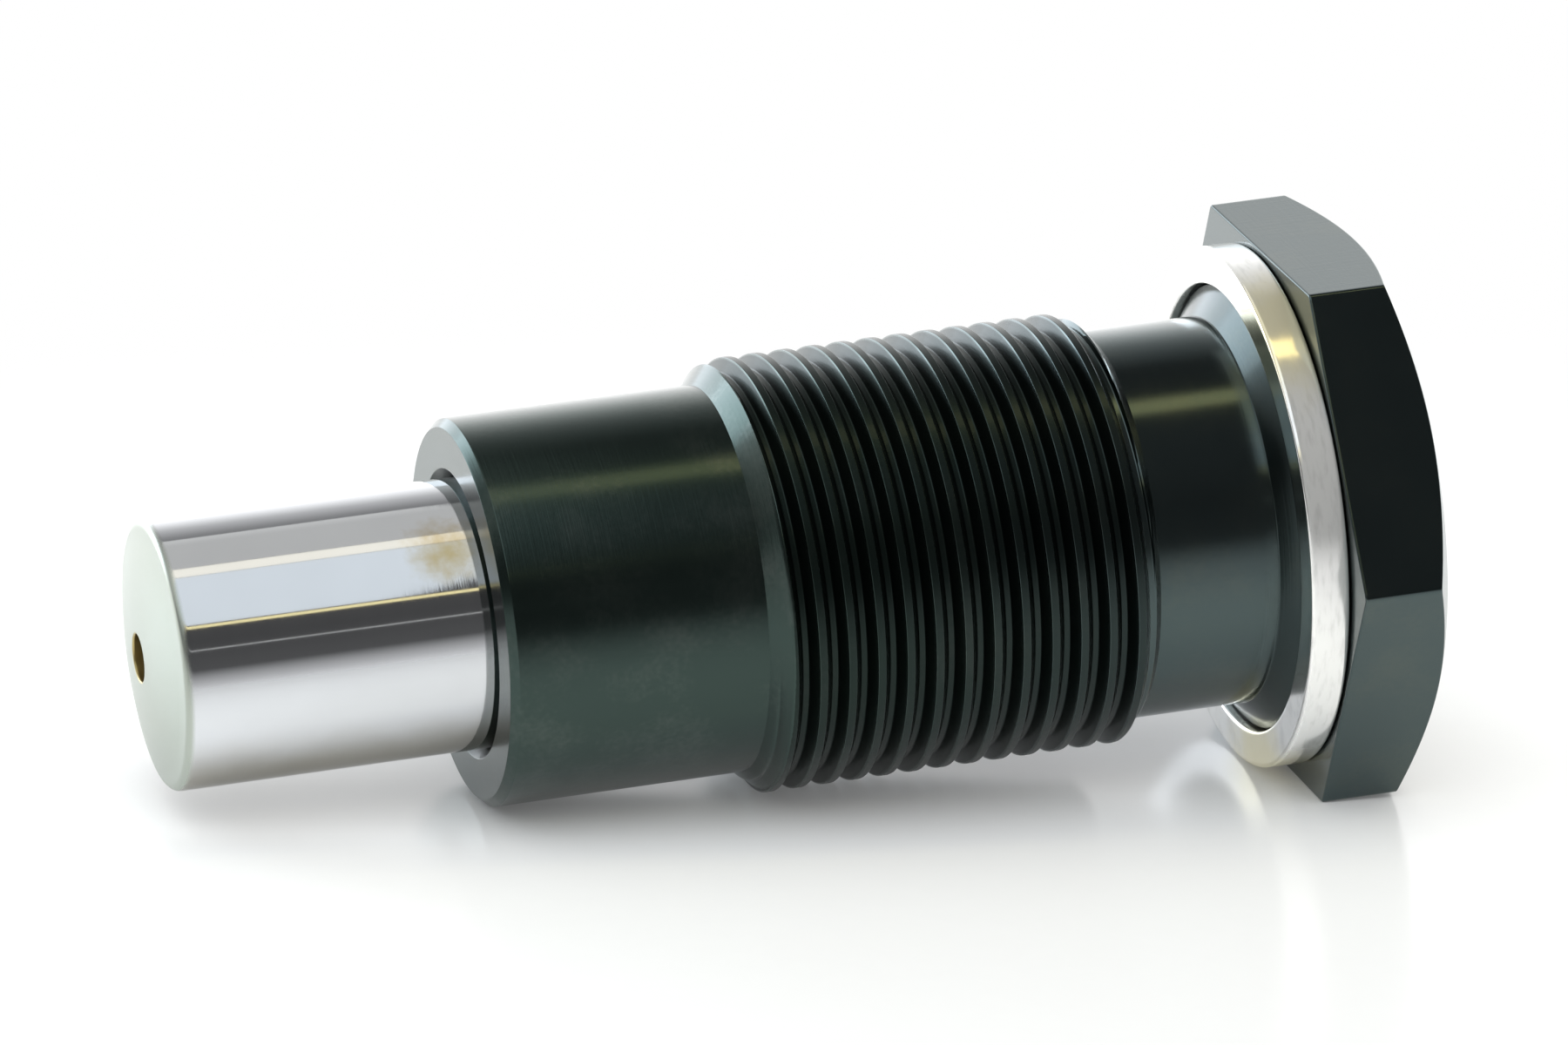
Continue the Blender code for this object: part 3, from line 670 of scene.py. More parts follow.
def oxide_finish(finishes, sizes):
    """Black oxide over turned steel, with a thin oil film; the sleeve's is duller than the neck's."""
    finish = Finish("black_oxide", metallic=1.0, coat_weight=finishes.oil_film, coat_roughness=0.1)
    clouds = finish.noise(finish.place, scale=0.22, detail=3.0)
    grain = finish.noise(finish.place, scale=3.5)
    wear = finish.between(clouds + WEAR_GRAIN * grain, *WEAR_RANGE)
    fore = finish.between(finish.station, *FORE_RANGE)
    oxide = finish.blend(fore, finishes.oxide, finishes.oxide_fore)
    oxide = finish.blend(WEAR_SHARE * wear, oxide, finishes.oxide_worn)
    # Painted shade: darker oxide in the grooves, on the collar cone, on the crest flats and in the bore, with
    # lighter painted highlight lines at the crests' edges
    painted_shade = painted_hollow_shade(finish, sizes)
    finish.set("Base Color", finish.blend(PAINTED_SHADE_SHARE * painted_shade, oxide, finishes.oxide_painted_shade))
    marks = finish.tool_marks(11.0)
    rough = finishes.oxide_roughness + OXIDE_SMOOTHEST + FORE_ROUGHER * fore + RECESS_ROUGHER * painted_shade
    finish.set("Roughness", rough + CLOUD_ROUGHER * clouds + MARK_ROUGHER * marks)
    finish.bump(marks + 0.5 * grain, strength=0.12, distance=0.02 * MM)
    return finish.material


def ground_finish(finishes, sizes):
    """Ground and polished steel: faced tip, brown oil hole, painted shade on the underside and a smudge near
    the mouth.
    """
    finish = Finish("ground_steel", metallic=1.0)
    tarnish = finish.noise(finish.place, scale=0.4)
    steel = finish.blend(TARNISH_SHARE * tarnish, finishes.ground, dimmed(finishes.ground, TARNISHED))
    # Painted shade: the plunger's underside is blended towards a darker, warm-tinted steel
    under = finish.height + UNDERSIDE_SHADE_WAVER * tarnish
    painted_underside_shade = UNDERSIDE_SHADE_SHARE - UNDERSIDE_SHADE_SHARE * finish.between(under, *UNDERSIDE_SHADE_RANGE)
    steel = finish.blend(painted_underside_shade, steel, finishes.painted_underside_shade)
    rim = (sizes.tip - sizes.crown_rise - sizes.crown_edge) / MM
    faced = finish.between(finish.station, rim, rim + FACE_FADE)
    steel = finish.blend(faced, steel, finishes.faced)
    spread = finish.distance(finish.place, SMUDGE_PLACE)
    spread = spread + SMUDGE_SPREAD * finish.noise(finish.place, scale=1.3, detail=3.0)
    smudge = SMUDGE_SHARE - SMUDGE_SHARE * finish.between(spread, *SMUDGE_RANGE)
    hole = sizes.hole_radius / MM
    inside = HOLE_SHARE - HOLE_SHARE * finish.between(finish.radius, hole, hole + HOLE_FADE)
    stained = finish.math('MAXIMUM', smudge, inside)
    finish.set("Base Color", finish.blend(stained, steel, finishes.smudge))
    streaks = finish.noise(finish.stretch(finish.place, (0.1, 0.1, 4.0)), scale=1.0, detail=3.0)
    rough = finishes.ground_roughness + GROUND_SMOOTHEST + STREAK_ROUGHER * streaks
    finish.set("Roughness", rough + (finishes.faced_roughness - finishes.ground_roughness) * faced)
    finish.bump(finish.tool_marks(16.0) + streaks, strength=0.05, distance=0.01 * MM)
    return finish.material


def aluminium_finish(finishes, front):
    """Soft bright aluminium, pressed and tumbled: a smoother front face, a painted golden reflection high on
    the rim and a straw-coloured stain low on it.
    """
    finish = Finish("washer_aluminium")
    face = finish.between(finish.station, *(front / MM - depth for depth in SMOOTH_FACE))
    finish.set("Metallic", finishes.aluminium_sheen + (1.0 - finishes.aluminium_sheen) * face)
    scuffs = finish.noise(finish.stretch(finish.place, (0.6, 0.6, 2.5)), scale=1.4, detail=4.0)
    scuffed = finish.between(scuffs, *SCUFF_RANGE)
    metal = finish.blend(scuffed, finishes.aluminium, dimmed(finishes.aluminium, SCUFFED))
    # Two straw-coloured patches: a painted golden reflection high on the rim and a stain low on it
    near, far = [finish.distance(finish.place, place) for place in STAIN_AND_SHEEN_PLACES]
    spread = finish.math('MINIMUM', near, far)
    spread = spread + STAIN_AND_SHEEN_SPREAD * finish.noise(finish.place, scale=0.5, detail=3.0)
    stained = STAIN_AND_SHEEN_SHARE - STAIN_AND_SHEEN_SHARE * finish.between(spread, *STAIN_AND_SHEEN_RANGE)
    finish.set("Base Color", finish.blend(stained, metal, finishes.aluminium_stain_and_painted_gold))
    finish.set("Roughness", finishes.aluminium_roughness + SCUFF_SMOOTHEST + SCUFF_ROUGHER * scuffs)
    finish.bump(scuffs + 0.3 * finish.tool_marks(8.0), strength=0.15, distance=0.02 * MM)
    return finish.material


def steel_finish(name, shade, roughness, fineness):
    """Plain steel with the fine lines of drawing, grinding or pressing."""
    finish = Finish(name, metallic=1.0)
    mottle = finish.noise(finish.place, scale=1.2, detail=3.0)
    mottled = finish.between(mottle, *MOTTLE_RANGE)
    finish.set("Base Color", finish.blend(mottled, shade, dimmed(shade, MOTTLED)))
    finish.set("Roughness", roughness + MOTTLE_SMOOTHEST + MOTTLE_ROUGHER * mottle)
    finish.bump(finish.tool_marks(fineness), strength=0.1, distance=0.01 * MM)
    return finish.material


def polyamide_finish(finishes):
    """Moulded natural polyamide, slightly translucent and oil-stained."""
    finish = Finish("moulded_polyamide", subsurface_weight=0.1, subsurface_scale=0.5 * MM)
    stain = finish.between(finish.noise(finish.place, scale=0.5, detail=3.0), *MOTTLE_RANGE)
    brown = dimmed(finishes.polyamide, POLYAMIDE_STAINED)
    finish.set("Base Color", finish.blend(stain, finishes.polyamide, brown))
    grain = finish.noise(finish.place, scale=6.0)
    finish.set("Roughness", POLYAMIDE_ROUGHNESS + POLYAMIDE_GRAIN * grain)
    finish.bump(grain, strength=0.1, distance=0.02 * MM)
    return finish.material


def hexagon_angles(sizes):
    """Extra columns at the hexagon's rounded corners, and the angle that one corner spans."""
    inner = (sizes.across_flats / 2 - sizes.corner_rounding) / math.cos(math.pi / 6)
    reach = sizes.corner_rounding * math.sin(math.pi / 6)
    span = math.atan2(reach, inner + sizes.corner_rounding * math.cos(math.pi / 6))
    offsets = np.array([-1.5, -1.0, -0.5, 0.5, 1.0, 1.5]) * span
    corners = np.radians(np.arange(30, 360, 60))
    return (corners[:, None] + offsets[None, :]).ravel(), span


def hexagon_radii(angles, inradius, rounding, span):
    """Distance from the axis to a hexagon with rounded corners and a flat at the top."""
    from_flat = (angles + math.pi / 6) % (math.pi / 3) - math.pi / 6
    from_corner = np.abs(np.abs(from_flat) - math.pi / 6)
    flat = inradius / np.cos(from_flat)
    inner = (inradius - rounding) / math.cos(math.pi / 6)
    under = np.clip(rounding ** 2 - (inner * np.sin(from_corner)) ** 2, 0.0, None)
    arc = inner * np.cos(from_corner) + np.sqrt(under)
    return np.where(from_corner < span, arc, flat)


def head_rings(sizes, angles, span):
    """Head, from the middle of its outer face over the chamfer and the flats to its sealing face."""
    inradius = sizes.across_flats / 2
    face = -sizes.head_thickness
    rim = inradius - sizes.head_margin
    slope = math.tan(sizes.head_chamfer)
    rings = [ring(angles, 0.0, face), ring(angles, rim / 2, face)]
    rim_outline = eased([(rim / 2, face, 0.0), (rim, face, EDGE_BREAK), (rim + RUN, face + slope * RUN, 0.0)])
    rings += [ring(angles, radius, station) for radius, station in rim_outline[1:-1]]
    flats = hexagon_radii(angles, inradius, sizes.corner_rounding, span)
    chamfer_end = face + (flats - rim) * slope
    for inward, onward in eased([(-RUN, -slope * RUN, 0.0), (0.0, 0.0, EDGE_BREAK), (0.0, RUN, 0.0)])[1:-1]:
        rings.append(ring(angles, flats + inward, chamfer_end + onward))
    for inward, onward in eased([(0.0, -RUN, 0.0), (0.0, 0.0, EDGE_BREAK), (-RUN, 0.0, 0.0)])[1:-1]:
        inset = hexagon_radii(angles, inradius + inward, sizes.corner_rounding, span)
        rings.append(ring(angles, inset, onward))
    return rings


def neck_outline(sizes):
    """Sealing face, collar, cone and neck, as far as the thread."""
    return eased([
        (sizes.across_flats / 2 - RUN, 0.0, 0.0),
        (sizes.collar_radius, 0.0, EDGE_BREAK),
        (sizes.collar_radius, sizes.collar_length - sizes.collar_cone, EDGE_BREAK),
        (sizes.neck_radius, sizes.collar_length, EDGE_BREAK),
        (sizes.neck_radius, sizes.thread_rear, 0.0),
    ])


def thread_section(sizes):
    """Depth below the crest against the distance from the middle of the crest, over half a pitch."""
    crest_edge = sizes.crest_flat / 2
    root_edge = crest_edge + sizes.thread_depth * math.tan(sizes.flank_angle)
    corners = eased([
        (0.0, 0.0, 0.0),
        (crest_edge, 0.0, FINE_BREAK),
        (root_edge, sizes.thread_depth, EDGE_BREAK),
        (sizes.pitch / 2, sizes.thread_depth, 0.0),
    ])
    offsets, depths = np.array(corners).T
    steps = []
    for start, end in zip(offsets, offsets[1:]):
        points = max(2, 1 + math.ceil((end - start) / ROW_SPACING))
        steps.append(np.linspace(start, end, points))
    rows = np.unique(np.concatenate(steps))
    return rows, np.interp(rows, offsets, depths)


def soft_minimum(first, second):
    """The lower of two heights, blended where they meet."""
    overlap = np.clip(RUNOUT_BLEND - np.abs(first - second), 0.0, None)
    return np.minimum(first, second) - overlap ** 2 / (4 * RUNOUT_BLEND)


def thread_rings(sizes, angles):
    """Right-hand thread: rows that climb one pitch a turn, held between the chamfered ends."""
    offsets, depths = thread_section(sizes)
    first = math.floor(sizes.thread_rear / sizes.pitch) - 2
    last = math.ceil(sizes.thread_front / sizes.pitch) + 1
    rows = [(-offset, depth) for offset, depth in zip(offsets[:0:-1], depths[:0:-1])]
    rows += list(zip(offsets[:-1], depths[:-1]))
    climb = sizes.pitch * angles / (2 * math.pi)
    rear_slope = (sizes.crest_radius - sizes.neck_radius) / sizes.thread_lead
    front_slope = (sizes.crest_radius - sizes.sleeve_radius) / sizes.thread_lead
    rings = []
    for turn in range(first, last + 1):
        for offset, depth in rows:
            station = turn * sizes.pitch + offset + climb
            station = np.clip(station, sizes.thread_rear, sizes.thread_front)
            ends = np.minimum(
                sizes.neck_radius + (station - sizes.thread_rear) * rear_slope,
                sizes.sleeve_radius + (sizes.thread_front - station) * front_slope,
            )
            rings.append(ring(angles, soft_minimum(ends, sizes.crest_radius - depth), station))
    return rings


def sleeve_outline(sizes):
    """Sleeve, mouth and bore, as far as the gallery's drill point."""
    gallery_point = sizes.gallery_floor - sizes.gallery_radius * math.tan(sizes.drill_point)
    chamfer = sizes.sleeve_chamfer
    return eased([
        (sizes.sleeve_radius, sizes.thread_front, 0.0),
        (sizes.sleeve_radius, sizes.mouth - chamfer, FINE_BREAK),
        (sizes.sleeve_radius - chamfer, sizes.mouth, FINE_BREAK),
        (sizes.guide_radius + sizes.mouth_width, sizes.mouth, FINE_BREAK),
        (sizes.guide_radius, sizes.mouth - sizes.mouth_depth, FINE_BREAK),
        (sizes.guide_radius, sizes.guide_rear, FINE_BREAK),
        (sizes.bore_radius, sizes.guide_rear, FINE_BREAK),
        (sizes.bore_radius, sizes.bore_floor, EDGE_BREAK),
        (sizes.gallery_radius, sizes.bore_floor, EDGE_BREAK),
        (sizes.gallery_radius, sizes.gallery_floor, EDGE_BREAK),
        (0.0, gallery_point, 0.0),
    ])


class TENSIONER_OT_make_body(bpy.types.Operator):
    """Make the body: hexagon head, collar, neck, thread, sleeve and blind bore"""
    bl_idname = "tensioner.make_body"
    bl_label = "Make Body"

    def execute(self, context):
        sizes = context.scene.tensioner_body
        extra, span = hexagon_angles(sizes)
        angles = column_angles(extra)
        rings = head_rings(sizes, angles, span)
        rings += [ring(angles, radius, station) for radius, station in neck_outline(sizes)]
        rings += thread_rings(sizes, angles)
        rings += [ring(angles, radius, station) for radius, station in sleeve_outline(sizes)]
        mesh = ring_mesh("turned_body", rings)
        across = Matrix.Rotation(math.pi / 2, 4, 'X')
        place = Matrix.Translation((0.0, sizes.sleeve_radius, sizes.feed_station)) @ across
        reach = 2 * (sizes.sleeve_radius - FEED_STOP)
        mesh = bore_through(context, mesh, [(sizes.feed_radius, reach, place)])
        finish = oxide_finish(context.scene.tensioner_finishes, sizes)
        add_piece(context, "turned_body", mesh, "tensioner_body", "housing", finish)
        return {'FINISHED'}


class TENSIONER_OT_make_washer(bpy.types.Operator):
    """Make the aluminium sealing washer round the collar"""
    bl_idname = "tensioner.make_washer"
    bl_label = "Make Washer"

    def execute(self, context):
        sizes = context.scene.tensioner_washer
        front = sizes.back + sizes.thickness
        outline = eased_loop([
            (sizes.outer_radius, sizes.back, sizes.edge),
            (sizes.outer_radius, front, sizes.edge),
            (sizes.bore_radius, front, sizes.bore_edge),
            (sizes.bore_radius, sizes.back, sizes.bore_edge),
        ])
        finish = aluminium_finish(context.scene.tensioner_finishes, front)
        mesh = turned_mesh("crush_washer", outline)
        add_piece(context, "crush_washer", mesh, "sealing_washer", "housing", finish)
        return {'FINISHED'}


def crown_outline(sizes):
    """The tip from its rounded edge over the dome to its oil hole."""
    rim = sizes.radius - sizes.crown_edge
    rim_station = sizes.tip - sizes.crown_rise
    points = []
    for step in range(DOME_STEPS + 1):
        turn = math.pi / 2 * step / DOME_STEPS
        across = rim + sizes.crown_edge * math.cos(turn)
        points.append((across, rim_station - sizes.crown_edge * (1 - math.sin(turn)), 0.0))
    for step in range(1, DOME_STEPS):
        across = rim + (sizes.hole_radius - rim) * step / DOME_STEPS
        points.append((across, sizes.tip - sizes.crown_rise * (across / rim) ** 2, 0.0))
    return points


def plunger_outline(sizes):
    """The hollow plunger, from its open end over the outside and back through the inside."""
    groove_front = sizes.groove_rear + sizes.groove_width
    rim = sizes.radius - sizes.crown_edge
    hole_station = sizes.tip - sizes.crown_rise * (sizes.hole_radius / rim) ** 2
    return eased_loop([
        (sizes.radius - sizes.tail_chamfer, sizes.tail, EDGE_BREAK),
        (sizes.radius, sizes.tail + sizes.tail_chamfer, EDGE_BREAK),
        (sizes.radius, sizes.groove_rear, FINE_BREAK),
        (sizes.groove_radius, sizes.groove_rear, FINE_BREAK),
        (sizes.groove_radius, groove_front, FINE_BREAK),
        (sizes.radius, groove_front, FINE_BREAK),
        *crown_outline(sizes),
        (sizes.hole_radius, hole_station, EDGE_BREAK),
        (sizes.hole_radius, sizes.underside, FINE_BREAK),
        (sizes.hollow_radius, sizes.underside, EDGE_BREAK),
        (sizes.hollow_radius, sizes.tail, EDGE_BREAK),
    ])


class TENSIONER_OT_make_plunger(bpy.types.Operator):
    """Make the ground plunger, its snap ring and the filler inside it"""
    bl_idname = "tensioner.make_plunger"
    bl_label = "Make Plunger"

    def execute(self, context):
        sizes = context.scene.tensioner_plunger
        finishes = context.scene.tensioner_finishes
        mesh = turned_mesh("ground_plunger", plunger_outline(sizes))
        finish = ground_finish(finishes, sizes)
        add_piece(context, "ground_plunger", mesh, "plunger", "piston", finish)
        self.make_snap_ring(context, sizes, finishes)
        self.make_filler(context, sizes, finishes)
        return {'FINISHED'}

    def make_snap_ring(self, context, sizes, finishes):
        station = sizes.groove_rear + sizes.groove_width / 2
        opening = sizes.ring_opening / 2
        stations = np.full(2 * WIRE_POINTS_PER_TURN, station)
        mesh = wound_mesh(
            "snap_ring", sizes.ring_radius, (opening, 2 * math.pi - opening), stations, sizes.ring_wire
        )
        finish = steel_finish("snap_ring_steel", finishes.snap_ring, 0.35, 6.0)
        add_piece(context, "snap_ring", mesh, "retaining_ring", "piston", finish)

    def make_filler(self, context, sizes, finishes):
        front = sizes.underside - sizes.seat_gap
        flange_back = front - sizes.filler_flange
        end = flange_back - sizes.filler_stem
        outline = eased_loop([
            (sizes.filler_hole, end, EDGE_BREAK),
            (sizes.filler_radius - sizes.tail_chamfer, end, EDGE_BREAK),
            (sizes.filler_radius, end + sizes.tail_chamfer, EDGE_BREAK),
            (sizes.filler_radius, flange_back, EDGE_BREAK),
            (sizes.filler_flange_radius, flange_back, EDGE_BREAK),
            (sizes.filler_flange_radius, front, EDGE_BREAK),
            (sizes.filler_hole, front, EDGE_BREAK),
        ])
        mesh = turned_mesh("moulded_filler", outline)
        finish = polyamide_finish(finishes)
        add_piece(context, "moulded_filler", mesh, "volume_filler", "piston", finish)


def coil_stations(bottom, top, turns, closed_turns, wire, gap):
    """Stations along a compression spring whose end turns lie nearly shut."""
    turn = np.linspace(0.0, turns, round(turns * WIRE_POINTS_PER_TURN) + 1)
    closed_rise = closed_turns * (wire + gap)
    open_turns = turns - 2 * closed_turns
    into_open = np.clip(turn - closed_turns, 0.0, open_turns)
    open_rise = (top - bottom) - 2 * closed_rise
    return bottom + into_open * open_rise / open_turns + (turn - into_open) * (wire + gap)


class TENSIONER_OT_make_springs(bpy.types.Operator):
    """Make the main spring and the ball's spring"""
    bl_idname = "tensioner.make_springs"
    bl_label = "Make Springs"

    def execute(self, context):
        self.make_main_spring(context)
        self.make_ball_spring(context)
        return {'FINISHED'}

    def add_spring(self, context, name, mesh, node, joint, rest, fixed):
        """Show a spring on the housing, with a mesh of its own."""
        scene = context.scene
        finish = steel_finish(name + "_wire", scene.tensioner_finishes.spring, 0.34, 5.0)
        spring = add_piece(context, name, mesh, node, "housing", finish)
        travel = next(entry for entry in frame["joints"] if entry["name"] == joint)["range_m"][1]
        (rest - travel) / rest
        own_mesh(spring)

    def make_main_spring(self, context):
        valve = context.scene.tensioner_valve
        plunger = context.scene.tensioner_plunger
        rear = valve.cage_flange_front
        front = plunger.underside - plunger.seat_gap - plunger.filler_flange
        margin = valve.main_spring_wire / 2 + plunger.seat_gap
        turns = valve.main_spring_turns
        wire = valve.main_spring_wire
        stations = coil_stations(
            rear + margin, front - margin, turns, valve.end_turns, wire, plunger.seat_gap
        )
        full = (0.0, 2 * math.pi * turns)
        mesh = wound_mesh("coil_spring", valve.main_spring_radius, full, stations, wire)
        self.add_spring(context, "coil_spring", mesh, "main_spring", "plunger_slide", front - rear, rear)

    def make_ball_spring(self, context):
        valve = context.scene.tensioner_valve
        gap = context.scene.tensioner_plunger.seat_gap
        wire = valve.ball_spring_wire
        reach = valve.ball_radius + wire / 2 + gap
        bottom = valve.ball_station + math.sqrt(reach ** 2 - valve.ball_spring_radius ** 2)
        top = valve.cage_roof - wire / 2 - gap
        turns = valve.ball_spring_turns
        stations = coil_stations(bottom, top, turns, 0, wire, gap)
        full = (0.0, 2 * math.pi * turns)
        mesh = wound_mesh("ball_spring", valve.ball_spring_radius, full, stations, wire)
        roof = valve.cage_roof
        self.add_spring(context, "ball_spring", mesh, "valve_spring", "check_ball_lift", roof - bottom, roof)


class TENSIONER_OT_make_valve(bpy.types.Operator):
    """Make the non-return valve: seat disc, ball and pressed cage"""
    bl_idname = "tensioner.make_valve"
    bl_label = "Make Valve"

    def execute(self, context):
        sizes = context.scene.tensioner_valve
        finishes = context.scene.tensioner_finishes
        self.make_seat(context, sizes, finishes)
        self.make_ball(context, sizes, finishes)
        self.make_cage(context, sizes, finishes)
        return {'FINISHED'}

    def make_seat(self, context, sizes, finishes):
        cone = sizes.seat_hole + sizes.seat_cone
        outline = eased_loop([
            (sizes.seat_radius, sizes.seat_back, EDGE_BREAK),
            (sizes.seat_radius, sizes.seat_front, EDGE_BREAK),
            (cone, sizes.seat_front, 0.0),
            (sizes.seat_hole, sizes.seat_front - sizes.seat_cone, 0.0),
            (sizes.seat_hole, sizes.seat_back, FINE_BREAK),
        ])
        finish = steel_finish("seat_steel", finishes.seat, 0.26, 12.0)
        mesh = turned_mesh("seat_disc", outline)
        add_piece(context, "seat_disc", mesh, "valve_seat", "housing", finish)

    def make_ball(self, context, sizes, finishes):
        outline = []
        for step in range(COLUMNS // 2 + 1):
            turn = math.pi * step / (COLUMNS // 2) - math.pi / 2
            station = sizes.ball_station + sizes.ball_radius * math.sin(turn)
            outline.append((sizes.ball_radius * math.cos(turn), station))
        finish = steel_finish("ball_steel", finishes.ball, 0.1, 2.0)
        mesh = turned_mesh("polished_ball", outline)
        add_piece(context, "polished_ball", mesh, "check_ball", "valve_ball", finish)

    def make_cage(self, context, sizes, finishes):
        outer = sizes.cage_bore + sizes.cage_wall
        roof_top = sizes.cage_roof + sizes.cage_wall
        outline = eased_loop([
            (sizes.cage_bore, sizes.cage_back, EDGE_BREAK),
            (sizes.cage_flange_radius, sizes.cage_back, EDGE_BREAK),
            (sizes.cage_flange_radius, sizes.cage_flange_front, EDGE_BREAK),
            (outer, sizes.cage_flange_front, EDGE_BREAK),
            (outer, roof_top, sizes.cage_wall),
            (sizes.vent_radius, roof_top, FINE_BREAK),
            (sizes.vent_radius, sizes.cage_roof, FINE_BREAK),
            (sizes.cage_bore, sizes.cage_roof, FINE_BREAK),
        ])
        mesh = turned_mesh("pressed_cage", outline)
        lift = Matrix.Translation((0.0, 0.0, sizes.ball_station))
        reach = 2 * (outer + EDGE_BREAK)
        drills = [
            (sizes.vent_radius, reach, lift @ Matrix.Rotation(math.pi / 2, 4, 'X')),
            (sizes.vent_radius, reach, lift @ Matrix.Rotation(math.pi / 2, 4, 'Y')),
        ]
        finish = steel_finish("cage_steel", finishes.cage, 0.36, 4.0)
        mesh = bore_through(context, mesh, drills)
        add_piece(context, "pressed_cage", mesh, "valve_cage", "housing", finish)


# Tints of the lamps
WARM = (1.0, 0.96, 0.84)
GOLDEN = (1.0, 0.86, 0.42)
COOL = (0.88, 0.95, 1.0)
SKY = (0.80, 0.88, 1.0)
NEUTRAL = (1.0, 1.0, 0.97)

# Hanging lamps: middle and width by depth in metres, the level that sets them, their share of it, and tint
LAMPS = {
    "overhead_strip": ((-0.29, -0.008, 0.24), (0.62, 0.034), "strip_level", 1.0, WARM),
    "golden_strip": ((0.33, -0.008, 0.24), (0.62, 0.034), "strip_level", 1.35, GOLDEN),
    "front_softbox": ((-0.292, -0.144, 0.24), (0.62, 0.236), "card_level", 1.0, COOL),
    "rear_softbox": ((-0.292, 0.09, 0.24), (0.62, 0.16), "side_level", 1.0, NEUTRAL),
    "warm_tube": ((-0.292, -0.281, 0.24), (0.66, 0.022), "tube_level", 1.0, GOLDEN),
    "far_tube": ((-0.4, -0.62, 0.24), (1.02, 0.03), "tube_level", 0.4, NEUTRAL),
    "window": ((-0.326, 0.362, 0.125), (0.24, 0.19), "window_level", 1.0, SKY),
    "curtain": ((-0.127, 0.473, 0.083), (0.25, 0.17), "window_level", 0.45, SKY),
}
FACING_OBJECT = ("window", "curtain")

# Fibres of the paper, how much longer than deep its full part is, the key light's focus, and the
# camera's clipping against its distance
FIBRE_SHADE = (0.985, 0.985, 0.985)
PAPER_STRETCH = (0.5, 1.0, 0.0)
KEY_FOCUS = 4.0
CLIP_NEAR = 0.1
CLIP_FAR = 100

# Radiance of the room against the angle from straight up, towards the camera's side: the pale
# backdrop low behind, the dark ceiling and front of the studio, and the table past the paper
ROOM_LEVELS = [
    (-180.0, 0.9),
    (-130.0, 1.2),
    (-110.0, 1.6),
    (-96.0, 1.7),
    (-76.0, 1.6),
    (-64.0, 1.1),
    (-54.0, 0.64),
    (-42.0, 0.34),
    (-30.0, 0.1),
    (62.0, 0.07),
    (86.0, 0.1),
    (93.0, 0.42),
    (102.0, 0.78),
    (180.0, 0.9),
]


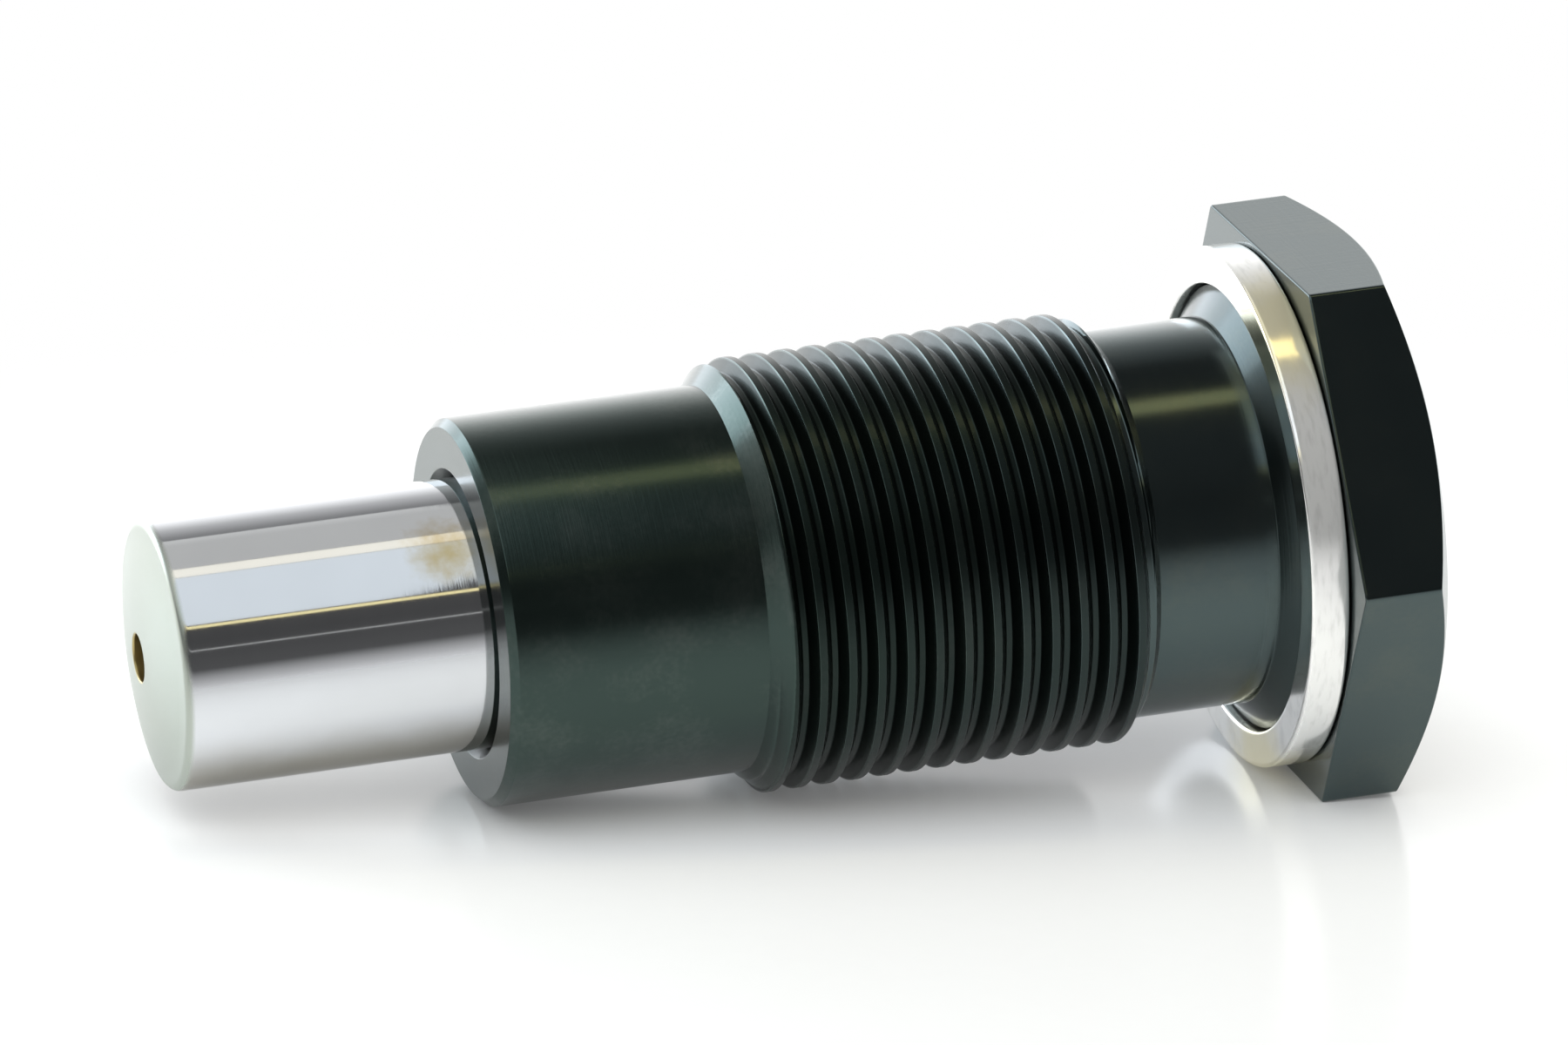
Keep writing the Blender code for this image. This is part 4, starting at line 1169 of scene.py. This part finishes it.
class TENSIONER_OT_set_stage(bpy.types.Operator):
    """Set the stage: pale floor, soft lamps, room and camera"""
    bl_idname = "tensioner.set_stage"
    bl_label = "Set Stage"

    def execute(self, context):
        settings = context.scene.tensioner_stage
        self.lay_floor(context, settings)
        self.light_room(context, settings)
        self.hang_lamps(context, settings)
        self.place_camera(context, settings)
        context.scene.view_settings.view_transform = 'Standard'
        return {'FINISHED'}

    def lay_floor(self, context, settings):
        half = settings.floor_size / 2
        mesh = bpy.data.meshes.new("studio_floor")
        corners = [(-half, -half, 0.0), (half, -half, 0.0), (half, half, 0.0), (-half, half, 0.0)]
        mesh.from_pydata(corners, [], [(0, 1, 2, 3)])
        floor = bpy.data.objects.new("studio_floor", mesh)
        context.scene.collection.objects.link(floor)
        finish = Finish("floor_paper", roughness=settings.floor_roughness)
        fibres = finish.noise(finish.place, scale=0.8, detail=3.0)
        shade = dimmed(settings.floor_colour, FIBRE_SHADE)
        finish.set("Base Color", finish.blend(fibres, settings.floor_colour, shade))
        seen = finish.rays("Camera", "Glossy", "Transmission")
        finish.set("Emission Color", finish.blend(seen, (0.0, 0.0, 0.0), (1.0, 1.0, 1.0)))
        finish.set("Emission Strength", settings.floor_glow)
        place = finish.node('ShaderNodeTexCoord', {}, {}, "Object")
        away = finish.size(finish.stretch(place, PAPER_STRETCH))
        finish.set("Alpha", 1.0 - finish.between(away, settings.floor_full, settings.floor_end))
        mesh.materials.append(finish.material)

    def light_room(self, context, settings):
        """White in view, a studio's light and dark parts in reflections, and even light elsewhere."""
        world = bpy.data.worlds.new("studio_room")
        world.use_nodes = True
        context.scene.world = world
        tree = NodeTree(world.node_tree)
        tree.tree.nodes.clear()
        direction = tree.node('ShaderNodeTexCoord', {}, {}, "Generated")
        toward_front = -1.0 * tree.along(direction, "Y")
        overhead = tree.along(direction, "Z")
        turn = tree.math('ARCTAN2', toward_front, overhead)
        stops = [(0.5 + degrees / 360.0, shade) for degrees, shade in ROOM_LEVELS]
        room = tree.ramp(turn * (0.5 / math.pi) + 0.5, stops)
        tilt = settings.key_tilt
        toward_key = math.cos(tilt) * overhead + math.sin(tilt) * toward_front
        key = tree.math('POWER', tree.math('MAXIMUM', toward_key, 0.0), KEY_FOCUS)
        light = settings.ambient + settings.key_level * key
        lit = tree.blend(tree.rays("Glossy"), light, room)
        shown = tree.blend(tree.rays("Camera", "Transmission"), lit, (1.0, 1.0, 1.0))
        background = tree.node('ShaderNodeBackground', {}, {"Color": shown})
        tree.node('ShaderNodeOutputWorld', {}, {"Surface": background})

    def hang_lamps(self, context, settings):
        """A strip over the whole length, softboxes and tubes for the plunger, and a low window behind."""
        middle = Vector((0.0, 0.0, settings.target_z))
        for name, (place, size, group, part, tint) in LAMPS.items():
            data = bpy.data.lights.new(name, 'AREA')
            data.shape = 'RECTANGLE'
            data.size, data.size_y = size
            data.energy = part * getattr(settings, group) * math.pi * size[0] * size[1]
            data.color = tint
            lamp = bpy.data.objects.new(name, data)
            context.scene.collection.objects.link(lamp)
            lamp.location = place
            lamp.visible_camera = False
            if name in FACING_OBJECT:
                outward = lamp.location - middle
                lamp.rotation_euler = outward.to_track_quat('Z', 'Y').to_euler()

    def place_camera(self, context, settings):
        """Camera at the viewing angle, with its roll, aimed at its target."""
        turn, lift, roll = settings.azimuth, settings.elevation, settings.roll
        back = Vector((math.sin(turn) * math.cos(lift), -math.cos(turn) * math.cos(lift), math.sin(lift)))
        level_right = Vector((math.cos(turn), math.sin(turn), 0.0))
        level_up = back.cross(level_right)
        right = math.cos(roll) * level_right + math.sin(roll) * level_up
        up = math.cos(roll) * level_up - math.sin(roll) * level_right
        target = Vector((settings.target_x, 0.0, settings.target_z))
        data = bpy.data.cameras.new("studio_camera")
        data.sensor_width = SENSOR_WIDTH
        data.lens = settings.focal_pixels * SENSOR_WIDTH / IMAGE_WIDTH
        data.clip_start = CLIP_NEAR * settings.distance
        data.clip_end = CLIP_FAR * settings.distance
        camera = bpy.data.objects.new("studio_camera", data)
        context.scene.collection.objects.link(camera)
        axes = Matrix((right, up, back)).transposed().to_4x4()
        camera.matrix_world = Matrix.Translation(target + settings.distance * back) @ axes
        context.scene.camera = camera


class TENSIONER_PT_panel(bpy.types.Panel):
    """Lists the tensioner's steps"""
    bl_idname = "TENSIONER_PT_panel"
    bl_label = "Timing Chain Tensioner"
    bl_space_type = 'VIEW_3D'
    bl_region_type = 'UI'
    bl_category = "Tensioner"

    def draw(self, context):
        for operator in OPERATORS:
            self.layout.operator(operator.bl_idname)


GROUPS = {
    "tensioner_body": BodySizes,
    "tensioner_washer": WasherSizes,
    "tensioner_plunger": PlungerSizes,
    "tensioner_valve": ValveSizes,
    "tensioner_finishes": Finishes,
    "tensioner_stage": StageSettings,
}
OPERATORS = [
    TENSIONER_OT_make_body,
    TENSIONER_OT_make_washer,
    TENSIONER_OT_make_plunger,
    TENSIONER_OT_make_springs,
    TENSIONER_OT_make_valve,
    TENSIONER_OT_set_stage,
]


def register():
    for name, group in GROUPS.items():
        bpy.utils.register_class(group)
        setattr(bpy.types.Scene, name, PointerProperty(type=group))
    for operator in OPERATORS:
        bpy.utils.register_class(operator)
    bpy.utils.register_class(TENSIONER_PT_panel)


def unregister():
    bpy.utils.unregister_class(TENSIONER_PT_panel)
    for operator in reversed(OPERATORS):
        bpy.utils.unregister_class(operator)
    for name, group in reversed(GROUPS.items()):
        delattr(bpy.types.Scene, name)
        bpy.utils.unregister_class(group)


def main():
    register()
    bpy.ops.tensioner.make_body()
    bpy.ops.tensioner.make_washer()
    bpy.ops.tensioner.make_plunger()
    bpy.ops.tensioner.make_springs()
    bpy.ops.tensioner.make_valve()
    bpy.ops.tensioner.set_stage()


if __name__ == "__main__":
    main()
